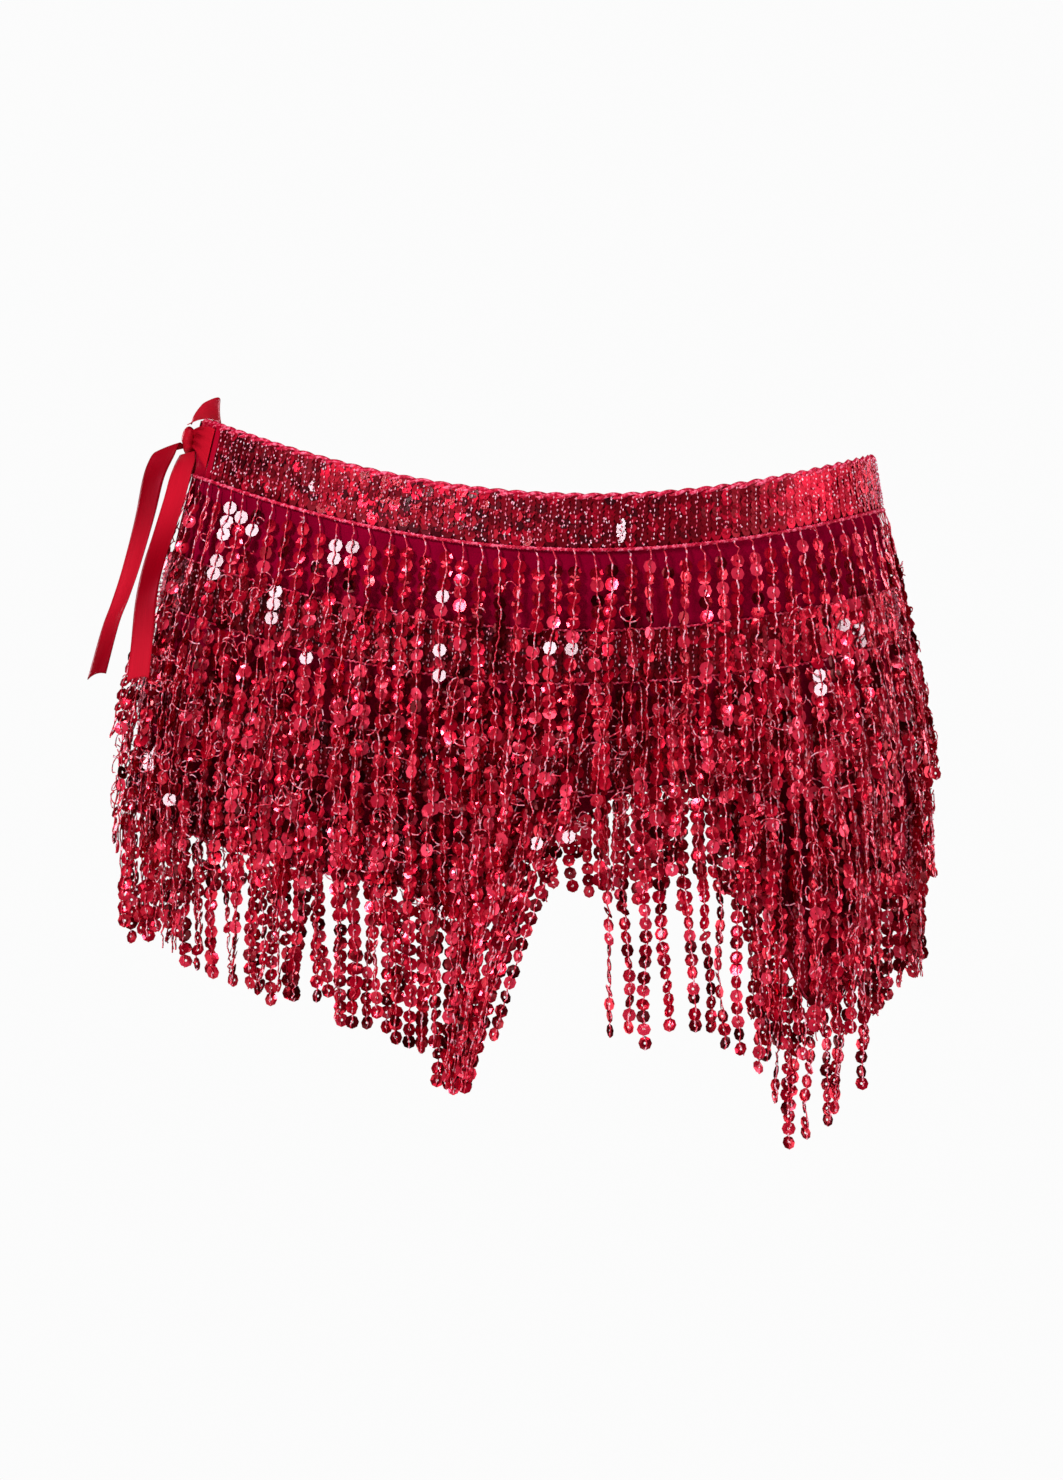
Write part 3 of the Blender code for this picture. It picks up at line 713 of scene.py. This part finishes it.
def rolled_edge(name, angles, drop, offset, plies, radius, swing, pitch):
    """Plies that wind round a line on the cloth, a helix of that pitch and swing each."""
    along = length_along(on_cloth(angles, drop, offset))
    wound = []
    for ply in range(plies):
        turn = 2 * np.pi * (along / pitch + ply / plies)
        wound.append(on_cloth(angles, drop + swing * np.cos(turn), offset + swing * np.sin(turn)))
    return sewn_on(mesh_piece(name, *tubes(wound, radius, EDGE_SIDES), [edge_thread]), "stitch_thread")


edge_angles = even_angles(FRONT_EDGE, BACK_EDGE, EDGE_STEP, 0.0)
edge_pieces = [rolled_edge(angles=edge_angles, **TOP_EDGE)]
for row in zip(*LOWER_EDGES.values()):
    edge_pieces.append(rolled_edge(angles=edge_angles, **dict(zip(LOWER_EDGES, row))))
for name in ("hem_band_left", "hem_band_right"):
    angles = even_angles(BANDS[name]["start"], BANDS[name]["end"], EDGE_STEP, HEM_SPACING_DROP)
    for place, drop in (("top", hem_band_top(angles)), ("foot", at(angles, HEM, "drop") - HEM_EDGE_RISE)):
        edge_pieces.append(rolled_edge(name + "_" + place + "_edge", angles, drop, **HEM_EDGE))


# Fringe
# Each strand is a thread chain-stitched through cupped sequins 6 mm across. Its root is caught in the
# lower edge of a band, the tiers hang over one another, and thread ends stick out below the last sequin.

SEQUIN_SIDES = 8
SEQUIN_RINGS = ((0.0032, 0.0), (0.00192, -0.00045), (0.0006, -0.0006))
SEQUIN_STEP = 0.0058
STEP_STRAY = 0.0004
FIRST_SEQUIN = (0.0, 0.004)
THREAD_RADIUS = 0.00042
THREAD_SIDES = 3
THREAD_POINTS = 56
THREAD_END = 0.0030
THREAD_STRAY = 0.00045
THREAD_RISE = 0.006
THREAD_WEAVE = (0.0007, 0.0004)
LEAN_POWER = 0.8
LEAN_MOST = 1.2
SWAY_GROWTH = 3
OUT_GROWTH = 4
HOOK_FADE = 0.0035
ROOT_STRAY = 0.25
TIP_STRAY = (-0.006, 0.005)
# The ends of the even draw of each habit that differs from strand to strand
HABITS = {"sway": (0.0002, 0.0013), "beat": (60, 150), "phase": (0, 6.3), "hook": (0.0005, 0.0032),
          "out": (0.0, 0.0016), "tail": (0.0, 0.003)}
# A sequin at the tight offset or closer has the least freedom, and it is free the loose room further out
TIGHT_OFFSET = 0.0018
LOOSE_ROOM = 0.0048
LEAST_FREEDOM = {"turn": 0.25, "lean": 0.5}
# Spreads in degrees of a strand's turn, of its change from each sequin to the next, and of each sequin's own
TURN = {"strand": 20, "change": 8, "own": 15, "most": 64}
SEQUIN_LEAN = {"mean": 8, "spread": 11}
FLIPPED_SHARE = 0.35
HOLLOW = (0.1, 1.0)
FRINGE_FLASH_OFFSET = 0.006
TANGLE_POINTS = 9
TANGLE_RADIUS = 0.8 * THREAD_RADIUS
TANGLE_OUT = 0.0022
TANGLE_SWELL = 0.0012
TANGLE_FALL = (2.4, 1.5)
TANGLE = {"below_hem": (-0.04, 0.012), "arc": (1.5, 4.5), "start": (0, 6.3), "slant": (0, 3.1),
          "half_width": (0.0012, 0.0055), "flatness": (0.25, 0.9)}
HEM_FRINGE = {"root": None, "bare": 0.004, "share": (0.0, 0.45, 1.0), "offset": (0.0018, 0.0012, 0.0006)}
TIERS = {
    "fringe_first_tier": {
        **WHOLE_BELT, "seed": 31, "step": 0.0082, "stray": 0.0022, "tangles": 620,
        "root": WAISTBAND_FOOT, "bare": 0.0075,
        "share": (0.0, 0.27, 0.62, 1.0), "offset": (0.0024, 0.0044, 0.0074, 0.0115),
        "angle": (-92, 262), "tip": (0.132, 0.132), "lean": (0.0, 0.0),
    },
    "fringe_second_tier": {
        **WHOLE_BELT, "seed": 32, "step": 0.0070, "stray": 0.0026, "tangles": 620,
        "root": SECOND_BAND_FOOT, "bare": 0.005,
        "share": (0.0, 0.22, 0.56, 1.0), "offset": (0.0022, 0.0040, 0.0068, 0.0090),
        "angle": (-92, -6, 2, 9, 13, 18, 26, 34, 98, 135, 225, 250, 262),
        "tip": (0.186, 0.186, 0.162, 0.148, 0.165, 0.172, 0.175, 0.184, 0.185, 0.168, 0.168, 0.184, 0.186),
        "lean": (0.0, 0.0, -0.014, -0.020, -0.004, 0.0, 0.0, 0.002, 0.0, 0.0, 0.0, 0.0, 0.0),
    },
    "fringe_third_tier": {
        **WHOLE_BELT, "seed": 33, "step": 0.0076, "stray": 0.0026, "tangles": 260,
        "root": THIRD_BAND_FOOT, "bare": 0.004,
        "crowd": ((-7.0, 9.3, 9), (37.0, 63.0, 10)), "parting": (9.35, 10.8),
        "share": (0.0, 0.20, 0.52, 1.0), "offset": (0.0020, 0.0038, 0.0044, 0.0048),
        "angle": (-92, -50, -30, -20, -14, -10, -5, -1, 4, 9.5, 10.5, 20, 26, 33, 38, 44, 60, 80, 98, 135,
                  225, 250, 262),
        "tip": (0.220, 0.224, 0.228, 0.233, 0.240, 0.2475, 0.254, 0.258, 0.250, 0.232, 0.236, 0.238, 0.242,
                0.246, 0.248, 0.244, 0.236, 0.224, 0.220, 0.186, 0.186, 0.218, 0.222),
        "lean": (0.0, 0.0, 0.0, 0.0, -0.004, -0.011, -0.021, -0.032, -0.043, -0.051, 0.0, 0.003, 0.010, 0.009,
                 0.006, 0.0, 0.0, 0.0, 0.0, 0.0, 0.0, 0.0, 0.0),
    },
    "fringe_hem_left": {
        **LEFT_HEM, **HEM_FRINGE, "seed": 34, "step": 0.0070, "stray": 0.0032, "tangles": 60,
        "angle": (-92, -60, -35, -18, -9, -4), "length": (0.056, 0.058, 0.064, 0.071, 0.086, 0.080),
        "lean": (0.0, 0.0, 0.0, 0.0, -0.004, -0.010),
    },
    "fringe_hem_right": {
        **RIGHT_HEM, **HEM_FRINGE, "seed": 35, "step": 0.0055, "stray": 0.0030, "tangles": 50,
        "angle": (36, 42, 46, 52, 58, 62, 70, 90, 262),
        "length": (0.066, 0.084, 0.074, 0.050, 0.062, 0.044, 0.051, 0.058, 0.060),
        "lean": (0.002, 0.0, -0.002, 0.0, 0.0, 0.0, 0.0, 0.0, 0.0),
    },
}
fringe_sequin = sequin_plastic("fringe sequin", (0.05, 0.0, 0.001), (0.52, 0.001, 0.018),
                               (0.92, 0.045, 0.105), (0.95, 0.25), 0.0, 0.2)
fringe_thread = thread_finish("strand thread", 0.08, 600.0, (0.84, 0.020, 0.060), (1.0, 0.50, 0.62),
                              (0.36, 0.001, 0.012))


def degrees_for(length, angle):
    """The angle that a length along the hips takes up."""
    turn = np.radians(angle)
    return np.degrees(length / np.hypot(HIP_HALF_WIDTH * np.cos(turn), HIP_FRONT_DEPTH * np.sin(turn)))


def fringe_edges(tier, angle):
    """The drops of a tier's roots and tips at angles; a hem fringe hangs from the hem."""
    if tier["root"] is None:
        root = at(angle, HEM, "drop")
        return root, root + at(angle, tier, "length")
    return np.full(angle.shape, tier["root"]), at(angle, tier, "tip")


def strand_place(tier, strands, along):
    """Angle, drop and offset of strands at lengths below their roots.

    A strand falls straight. Its lean grows with a power of the share fallen, and a hook at the root
    dies away as an exponential. A slow sine that sways it is full from a third of the way on, and the
    amount by which it stands further out from a quarter of the way on.
    """
    share = along / strands["length"]
    lean = strands["lean"] * np.clip(share, 0, LEAN_MOST) ** LEAN_POWER + strands["side"] * share
    wave = strands["sway"] * np.sin(strands["beat"] * along + strands["phase"])
    wave = wave * np.clip(share * SWAY_GROWTH, 0, 1)
    hook = -strands["hook"] * np.exp(-along / HOOK_FADE)
    angle = strands["root_angle"] + degrees_for(lean + wave + hook, strands["root_angle"])
    offset = np.interp(share, tier["share"], tier["offset"])
    offset = offset + strands["out"] * np.clip(share * OUT_GROWTH, 0, 1)
    return angle, strands["root_drop"] + along, offset


def hang_strands(tier, dice):
    """A tier's strands, one a row: where each is caught, how long it is, and its habits."""
    roots = even_angles(tier["start"], tier["end"], tier["step"], 0.0)[1:-1, None]
    roots = roots + dice.uniform(-ROOT_STRAY, ROOT_STRAY, roots.shape)
    if "crowd" in tier:
        roots = np.concatenate([roots] + [np.linspace(*crowd)[:, None] for crowd in tier["crowd"]])
        roots = roots[(roots < tier["parting"][0]) | (roots > tier["parting"][1])][:, None]
    root_drop, tip = fringe_edges(tier, roots)
    strands = {
        "root_angle": roots,
        "root_drop": root_drop,
        "length": tip + dice.uniform(*TIP_STRAY, roots.shape) - root_drop,
        "lean": at(roots, tier, "lean"),
        "side": dice.normal(0, tier["stray"], roots.shape),
    }
    for habit, ends in HABITS.items():
        strands[habit] = dice.uniform(*ends, roots.shape)
    return strands


def tier_sequins(name, tier, strands, dice):
    """The sequins of a tier, and how far down its strand the last one of each hangs.

    Each is turned by its strand's turn, a random walk down the strand and a turn of its own, all less
    where it lies close to the cloth, and some face the cloth.
    """
    each_strand = strands["root_angle"].shape
    most = int((strands["length"].max() - tier["bare"]) / SEQUIN_STEP) + 1
    along = tier["bare"] + dice.uniform(*FIRST_SEQUIN, each_strand) + np.arange(most)[None, :] * SEQUIN_STEP
    along = along + dice.normal(0, STEP_STRAY, along.shape)
    keep = along < strands["length"] - strands["tail"]
    angle, drop, offset = strand_place(tier, strands, along)
    freedom = np.clip((offset - TIGHT_OFFSET) / LOOSE_ROOM, LEAST_FREEDOM["turn"], 1)
    freedom = np.where(drop > at(angle, HEM, "drop"), 1.0, freedom)
    walk = dice.normal(0, TURN["strand"], each_strand)
    walk = walk + np.cumsum(dice.normal(0, TURN["change"], along.shape), axis=1)
    walk = walk + dice.normal(0, TURN["own"], along.shape)
    yaw = np.radians(np.clip(walk * freedom, -TURN["most"], TURN["most"]))
    tilt = dice.normal(0, SEQUIN_LEAN["spread"], along.shape) * np.clip(freedom, LEAST_FREEDOM["lean"], 1)
    lean = np.radians(SEQUIN_LEAN["mean"] + tilt)
    # A random tone a sequin, which sets its painted reflection from deep to pale
    tone = dice.uniform(0, 1, along.shape)[keep]
    centre, *axes = cloth_frame(angle[keep], drop[keep], offset[keep])
    axes = list(turned(axes, yaw[keep], lean[keep]))
    flip = np.where(dice.uniform(0, 1, len(tone)) < FLIPPED_SHARE, -1.0, 1.0)[:, None]
    axes[0], axes[2] = axes[0] * flip, axes[2] * flip
    hollow = dice.uniform(*HOLLOW, len(tone))
    flashing = flash(name, centre, axes, tone, FRINGE_FLASH_OFFSET)
    axes[2] = axes[2] * np.where(flashing, 0.0, hollow)[:, None]
    shape = sequin_shape(SEQUIN_RINGS, SEQUIN_SIDES)
    sequins = sequin_piece(name, shape, centre, axes, fringe_sequin, flashing, tone)
    sewn_on(sequins, "sequin_fringe", name)
    return sequins, np.where(keep, along, 0).max(axis=1, keepdims=True)


def tangles(tier, dice):
    """Loose loops of thread among the strands: an arc of an ellipse each, at any slant, swelling outwards."""
    column = (tier["tangles"], 1)

    def draw(key):
        return dice.uniform(*TANGLE[key], column)

    angle = dice.uniform(tier["start"] + 1, tier["end"] - 1, column)
    root, tip = fringe_edges(tier, angle)
    drop = root + (tip - root) * dice.beta(*TANGLE_FALL, column)
    drop = np.minimum(drop, at(angle, HEM, "drop") + draw("below_hem"))
    turn = np.linspace(0, 1, TANGLE_POINTS)[None, :] * draw("arc") + draw("start")
    slant = draw("slant")
    wide = draw("half_width")
    tall = wide * draw("flatness")
    across = wide * np.cos(turn) * np.cos(slant) - tall * np.sin(turn) * np.sin(slant)
    down = wide * np.cos(turn) * np.sin(slant) + tall * np.sin(turn) * np.cos(slant)
    offset = np.interp((drop - root) / (tip - root), tier["share"], tier["offset"])
    offset = offset + TANGLE_OUT + TANGLE_SWELL * np.sin(turn)
    loops = on_cloth(angle + degrees_for(across, angle), drop + down, offset)
    return tubes(loops, TANGLE_RADIUS, THREAD_SIDES)


def tier_threads(name, tier, strands, last, dice):
    """The thread of each strand, which weaves through its sequins as a sine, and the loose loops."""
    along = np.linspace(0, 1, THREAD_POINTS)[None, :] * (last + THREAD_END)
    angle, drop, offset = strand_place(tier, strands, along)
    angle = angle + degrees_for(dice.normal(0, THREAD_STRAY, along.shape), angle)
    weave = THREAD_WEAVE[0] + THREAD_WEAVE[1] * np.sin(np.pi * along / SEQUIN_STEP + strands["phase"])
    hung = on_cloth(angle, drop, offset + weave * np.clip(along / THREAD_RISE, 0, 1))
    points, faces = joined(tubes(hung, THREAD_RADIUS, THREAD_SIDES), tangles(tier, dice))
    return sewn_on(mesh_piece(name + "_threads", points, faces, [fringe_thread]), "stitch_thread")


def make_tier(name, tier):
    """The sequins and the threads of one tier."""
    dice = np.random.RandomState(tier["seed"])
    strands = hang_strands(tier, dice)
    sequins, last = tier_sequins(name, tier, strands, dice)
    return [sequins, tier_threads(name, tier, strands, last, dice)]


fringe_pieces = [piece for name, tier in TIERS.items() for piece in make_tier(name, tier)]


# Ribbon tie
# Red satin ribbon 12 mm wide, one length sewn to each end of the wrap. The back one loops up and over
# to the front, the two are knotted beside the waistband's end, and their tails hang free.

RIBBON_WIDTH = 0.012
RIBBON_WALL = 0.0004
RIBBON_STEPS = 14
RIBBON_ACROSS = 9
RIBBONS = {
    "ribbon_back_loop": {
        "x": (-0.1512, -0.1480, -0.1472, -0.1504, -0.1535, -0.1572, -0.1602),
        "y": (0.0188, 0.0165, 0.0115, 0.0060, 0.0000, -0.0052, -0.0080),
        "z": (0.0290, 0.0375, 0.0408, 0.0397, 0.0387, 0.0362, 0.0331),
        "across_x": (0.00, 0.05, -0.10, -0.45, -0.45, -0.25, 0.10),
        "across_y": (0.05, 0.15, 0.20, 0.35, 0.75, 0.95, 0.98),
        "across_z": (1.00, 0.98, 0.97, 0.80, 0.45, 0.15, 0.05),
    },
    "ribbon_tail_outer": {
        "x": (-0.1666, -0.1699, -0.1724, -0.1762, -0.1801, -0.1861, -0.1911, -0.1957, -0.2019),
        "y": (-0.0060, -0.0098, -0.0140, -0.0158, -0.0170, -0.0180, -0.0185, -0.0190, -0.0195),
        "z": (0.0215, 0.0226, 0.0178, 0.0080, -0.0099, -0.0320, -0.0472, -0.0596, -0.0826),
        "across_x": (0.80, 0.88, 0.95, 0.85, 0.80, 0.74, 0.72, 0.70, 0.74),
        "across_y": (0.55, 0.30, -0.10, -0.47, -0.56, -0.64, -0.66, -0.68, -0.64),
        "across_z": (0.22, 0.36, 0.20, 0.12, 0.20, 0.20, 0.22, 0.22, 0.22),
    },
    "ribbon_tail_inner": {
        "x": (-0.1607, -0.1619, -0.1637, -0.1655, -0.1701, -0.1747, -0.1778, -0.1797, -0.1815),
        "y": (-0.0142, -0.0176, -0.0214, -0.0265, -0.0345, -0.0405, -0.0445, -0.0465, -0.0465),
        "z": (0.0198, 0.0150, 0.0088, 0.0005, -0.0164, -0.0319, -0.0478, -0.0683, -0.0843),
        "across_x": (0.60, 0.80, 0.86, 0.88, 0.90, 0.88, 0.86, 0.86, 0.86),
        "across_y": (-0.78, -0.56, -0.48, -0.44, -0.42, -0.46, -0.50, -0.50, -0.50),
        "across_z": (0.12, 0.18, 0.20, 0.22, 0.24, 0.24, 0.20, 0.16, 0.14),
    },
}
RIBBON_CURL_LENGTH = 0.016
RIBBON_END = {"hollow": 0.0012, "length": 0.006}
RIBBON_CURL = {"ribbon_back_loop": 0.0003, "ribbon_tail_outer": 0.0009, "ribbon_tail_inner": -0.0009}
# Painted soft lights lie this far apart along the ribbons, the first this far from the start of each
SATIN_LIGHT_STEP = 0.090
SATIN_LIGHT = {"ribbon_back_loop": 0.034, "ribbon_tail_outer": 0.070, "ribbon_tail_inner": 0.020}
KNOT_PLACE = (-0.1602, -0.0090, 0.0255)
KNOT_HALF_SIZE = (0.0034, 0.0060, 0.0068)
KNOT_AROUND = 40
KNOT_UP = 24
KNOT_UV = 0.004
KNOT_FOLD = {"depth": 0.05, "slant": 3.2}
KNOT_WAIST = {"depth": 0.13, "place": -0.25, "width": 0.14}
STRETCH = {
    "angle": (-70.5, -73.0, -76.0, -78.5, -81.0, -83.5, -86.0),
    "drop": (-0.0020, -0.0030, -0.0035, -0.0040, -0.0045, -0.0048, -0.0048),
    "half_height": (0.0088, 0.0080, 0.0070, 0.0060, 0.0054, 0.0050, 0.0046),
}
STRETCH_OFFSET = 0.0034
STRETCH_STEPS = 6
STRETCH_ACROSS = 17
STRETCH_PLEAT = 0.0012
STRETCH_PLEATS = 3.2
STRETCH_PHASE = 0.6
STRETCH_GATHER = (72.0, 83.0)
STRETCH_DRAWN = (80.5, 86.0)
STRETCH_UV = 0.0022
MOUTH = {"x": 0.0012, "y": -0.0038, "half_height": 0.0046, "pleat": 0.2}


def curve_through(values, steps):
    """A Catmull-Rom curve through the values, with steps points from each to the next."""
    v = np.asarray(values, float)
    padded = np.concatenate([[2 * v[0] - v[1]], v, [2 * v[-1] - v[-2]]])
    a, b, c, d = (padded[i:len(v) - 1 + i, None] for i in range(4))
    t = np.arange(steps)[None, :] / steps
    curve = 0.5 * (2 * b + (c - a) * t + (2 * a - 5 * b + 4 * c - d) * t**2 + (3 * b - a - 3 * c + d) * t**3)
    return np.append(curve.ravel(), v[-1])


def satin(name, shine):
    """Red satin: long fine threads across the ribbon streak its gloss, and soft lights are painted along it.

    The painted lights are a cosine of the length, from the colour in shade where the ribbon turns away to the
    lit one.
    """
    made, tree, principled = shader(name)
    lengths = add_node(tree, "UVMap", uv_map="ribbon").outputs["UV"]
    stretched = add_node(tree, "Mapping", {"Vector": lengths, "Scale": (40.0, 2600.0, 1.0)}).outputs["Vector"]
    weave = add_node(tree, "TexNoise", {"Vector": stretched, "Scale": 1.0, "Detail": 2.0}).outputs["Fac"]
    along = add_node(tree, "SeparateXYZ", {"Vector": lengths}).outputs["X"]
    turns = add_node(tree, "Math", {0: along, 1: 2 * np.pi / SATIN_LIGHT_STEP}, operation="MULTIPLY")
    swell = add_node(tree, "Math", {0: turns.outputs["Value"]}, operation="COSINE")
    light = mapped(tree, swell.outputs["Value"], -1.0, 1.0)
    # Painted light: the dark red is the ribbon in shade, the other the lit ribbon
    dye_and_painted_light = mixed(tree, light, (0.26, 0.0, 0.006, 1), (0.60, 0.008, 0.026, 1))
    feed(tree, principled, {
        "Base Color": mixed(tree, weave, dye_and_painted_light, (0.72, 0.6, 0.6, 1), "MULTIPLY"), "Roughness": 0.34,
        "Specular IOR Level": shine, "Specular Tint": (1.0, 0.12, 0.25, 1), "Anisotropic": 0.5,
        "Normal": relief(tree, weave, 0.25, 0.0002),
    })
    return made


def ribbon_uv(piece, lengths, widths):
    """A UV map in metres: along the ribbon and across it."""
    lengths, widths = np.broadcast_arrays(lengths, widths)
    layer = piece.data.uv_layers.new(name="ribbon")
    corner = np.empty(len(piece.data.loops), np.int32)
    piece.data.loops.foreach_get("vertex_index", corner)
    pairs = np.stack([lengths.ravel()[corner], widths.ravel()[corner]], axis=-1)
    layer.data.foreach_set("uv", pairs.astype(np.float32).ravel())


red_satin = satin("red satin", 0.16)
pleated_satin = satin("pleated satin", 0.0)
glossy_satin = satin("glossy satin", 0.7)


def make_ribbon(name, table, curl):
    """A strip that follows its table, its width bent by a parabola, its free end cut a little hollow.

    The bend comes and goes as a sine of the length.
    """
    columns = np.stack([curve_through(values, RIBBON_STEPS) for values in table.values()], axis=-1)
    centre, across = columns[:, :3], unit(columns[:, 3:])
    tangent = unit(np.gradient(centre, axis=0))
    normal = unit(np.cross(tangent, across))
    length = length_along(centre)
    side = np.linspace(-0.5, 0.5, RIBBON_ACROSS)[None, :]
    arch = 1 - 4 * side**2
    bend = curl * arch * np.sin(length / RIBBON_CURL_LENGTH)[:, None]
    ending = ramp(length, length[-1] - RIBBON_END["length"], length[-1])[:, None]
    hollow = -RIBBON_END["hollow"] * arch * ending
    points = (centre[:, None] + across[:, None] * (side * RIBBON_WIDTH)[..., None]
              + normal[:, None] * bend[..., None] + tangent[:, None] * hollow[..., None])
    finish = glossy_satin if name == "ribbon_back_loop" else red_satin
    ribbon = mesh_piece(name + "_satin", points, grid_quads(len(centre), RIBBON_ACROSS), [finish])
    ribbon_uv(ribbon, length[:, None] - SATIN_LIGHT[name], side * RIBBON_WIDTH)
    wall(ribbon, RIBBON_WALL, 0)
    sewn_on(ribbon, "satin_ribbon", name)
    return ribbon


def make_front_stretch():
    """The front ribbon on the waistband, gathered by a sine into three small pleats towards the knot."""
    angles, drops, halves = (curve_through(values, STRETCH_STEPS)[:, None] for values in STRETCH.values())
    side = np.linspace(-1, 1, STRETCH_ACROSS)[None, :]
    waves = np.sin(side * STRETCH_PLEATS * np.pi + STRETCH_PHASE)
    pleat = STRETCH_PLEAT * ramp(-angles, *STRETCH_GATHER) * waves
    points = on_cloth(angles + 0 * side, drops + halves * side, STRETCH_OFFSET + pleat)
    drawn = ramp(-angles, *STRETCH_DRAWN)[..., None]
    mouth = np.stack([MOUTH["x"] + 0 * side, MOUTH["y"] + MOUTH["pleat"] * pleat[-1:],
                      -MOUTH["half_height"] * side], axis=-1)
    points = points * (1 - drawn) + (mouth + KNOT_PLACE) * drawn
    faces = grid_quads(len(angles), STRETCH_ACROSS)
    piece = mesh_piece("ribbon_front_stretch_satin", points, faces, [pleated_satin])
    ribbon_uv(piece, (angles - angles[0]) * STRETCH_UV, side * RIBBON_WIDTH / 2)
    wall(piece, RIBBON_WALL, 0)
    sewn_on(piece, "satin_ribbon", "ribbon_front_stretch")
    return piece


def make_knot():
    """A lump of wrapped ribbon: an ellipsoid whose radius ripples in slanted folds, drawn in at its waist.

    The folds are a sine of twice the turn plus a cosine of the rise, and the waist is a Gauss curve.
    """
    turn = np.arange(KNOT_AROUND)[:, None] * 2 * np.pi / KNOT_AROUND
    rise = (np.arange(1, KNOT_UP) / KNOT_UP * np.pi)[None, :]
    folds = KNOT_FOLD["depth"] * np.sin(2 * turn + KNOT_FOLD["slant"] * np.cos(rise))
    waist = np.exp(-((np.cos(rise) - KNOT_WAIST["place"]) / KNOT_WAIST["width"]) ** 2)
    ripple = 1 + folds - KNOT_WAIST["depth"] * waist
    ball = np.stack([np.sin(rise) * np.cos(turn) * ripple, np.sin(rise) * np.sin(turn) * ripple,
                     np.cos(rise) * (1 + 0 * turn)], axis=-1)
    points = np.concatenate([ball.reshape(-1, 3), [(0, 0, 1), (0, 0, -1)]]) * KNOT_HALF_SIZE + KNOT_PLACE
    rings = KNOT_UP - 1
    top = KNOT_AROUND * rings
    i = np.arange(KNOT_AROUND) * rings
    after = np.roll(i, -1)
    caps = [(top, a, b) for a, b in zip(i, after)]
    caps += [(top + 1, b + rings - 1, a + rings - 1) for a, b in zip(i, after)]
    faces = grid_quads(KNOT_AROUND, rings, closed=True).tolist() + caps
    mesh = bpy.data.meshes.new("ribbon_knot_satin")
    mesh.from_pydata(points.tolist(), [], faces)
    mesh.materials.append(red_satin)
    mesh.shade_smooth()
    knot = bpy.data.objects.new("ribbon_knot_satin", mesh)
    bpy.context.scene.collection.objects.link(knot)
    round_and_up = ball.shape[:2]
    ribbon_uv(knot, np.append(np.broadcast_to(turn * KNOT_UV, round_and_up), [0, 0]),
              np.append(np.broadcast_to(rise * KNOT_UV, round_and_up), [0, RIBBON_WIDTH]))
    return sewn_on(knot, "satin_ribbon", "ribbon_knot")


ribbon_pieces = [make_knot(), make_front_stretch()]
ribbon_pieces += [make_ribbon(name, table, RIBBON_CURL[name]) for name, table in RIBBONS.items()]


# Studio
# A pale floor far below, soft lamps and a level camera in front of the belt.

FLOOR_DROP = 0.95
FLOOR_HALF = 3.0
PHOTO_SCALE = 0.00046
PHOTO_HEIGHT = 1480
SENSOR = 36.0


def soft_lamp(name, place, size, watts, colour=(1.0, 1.0, 1.0)):
    """An area lamp that points at the belt."""
    lamp = bpy.data.lights.new(name, "AREA")
    lamp.shape = "RECTANGLE"
    lamp.size, lamp.size_y = size
    lamp.energy = watts
    lamp.color = colour
    made = bpy.data.objects.new(name, lamp)
    made.location = place
    made.rotation_euler = (Vector((0, 0, -0.1)) - Vector(place)).to_track_quat("-Z", "Y").to_euler()
    bpy.context.scene.collection.objects.link(made)


def see_and_feel(tree, felt, seen, end):
    """Shows one shader to the camera and gives another to every other ray."""
    ray = add_node(tree, "LightPath").outputs["Is Camera Ray"]
    choice = add_node(tree, "MixShader", {0: ray, 1: felt, 2: seen})
    feed(tree, tree.nodes[end], {"Surface": choice.outputs["Shader"]})


def pale_floor():
    """A plain floor that looks evenly pale to the camera and only dimly lights the belt."""
    made, tree, principled = shader("pale floor")
    feed(tree, principled, {"Base Color": (0.85, 0.85, 0.85, 1), "Roughness": 0.8})
    even = add_node(tree, "Emission", {"Color": (0.96, 0.96, 0.96, 1)})
    see_and_feel(tree, principled.outputs["BSDF"], even.outputs["Emission"], "Material Output")
    return made


corners = [(x, y, -FLOOR_DROP) for x, y in ((-1, -1), (1, -1), (1, 1), (-1, 1))]
floor = mesh_piece("floor", np.array(corners) * (FLOOR_HALF, FLOOR_HALF, 1), [(0, 1, 2, 3)], [pale_floor()])

soft_lamp("key", tuple(KEY_PLACE), (0.55, 0.55), 58)
soft_lamp("left box", (-2.6, -1.3, 0.2), (1.8, 1.6), 15)
soft_lamp("right box", (2.7, -0.5, 0.2), (1.6, 1.6), 34)
soft_lamp("overhead", (0.2, -0.8, 1.9), (1.2, 0.8), 20)
soft_lamp("low front", (0.4, -2.4, -0.85), (1.4, 0.4), 8)
soft_lamp("back left", (-1.6, 2.0, 0.5), (0.7, 0.9), 18, (1.0, 0.62, 0.70))
soft_lamp("back right", (1.8, 1.9, 0.4), (0.6, 1.2), 18, (1.0, 0.62, 0.70))

world = bpy.data.worlds.new("studio")
bpy.context.scene.world = world
world.use_nodes = True
seen = world.node_tree.nodes["Background"]
feed(world.node_tree, seen, {"Color": (0.97, 0.97, 0.97, 1)})
felt = add_node(world.node_tree, "Background", {"Color": (1.0, 1.0, 1.0, 1), "Strength": 0.03})
see_and_feel(world.node_tree, felt.outputs["Background"], seen.outputs["Background"], "World Output")
bpy.context.scene.view_settings.view_transform = "Standard"

camera_data = bpy.data.cameras.new("camera")
camera_data.sensor_fit = "VERTICAL"
camera_data.sensor_height = SENSOR
camera_data.lens = SENSOR * abs(EYE_PLACE[1]) / (PHOTO_SCALE * PHOTO_HEIGHT)
camera = bpy.data.objects.new("camera", camera_data)
camera.location = EYE_PLACE
camera.rotation_euler = (np.pi / 2, 0, 0)
bpy.context.scene.collection.objects.link(camera)
bpy.context.scene.camera = camera
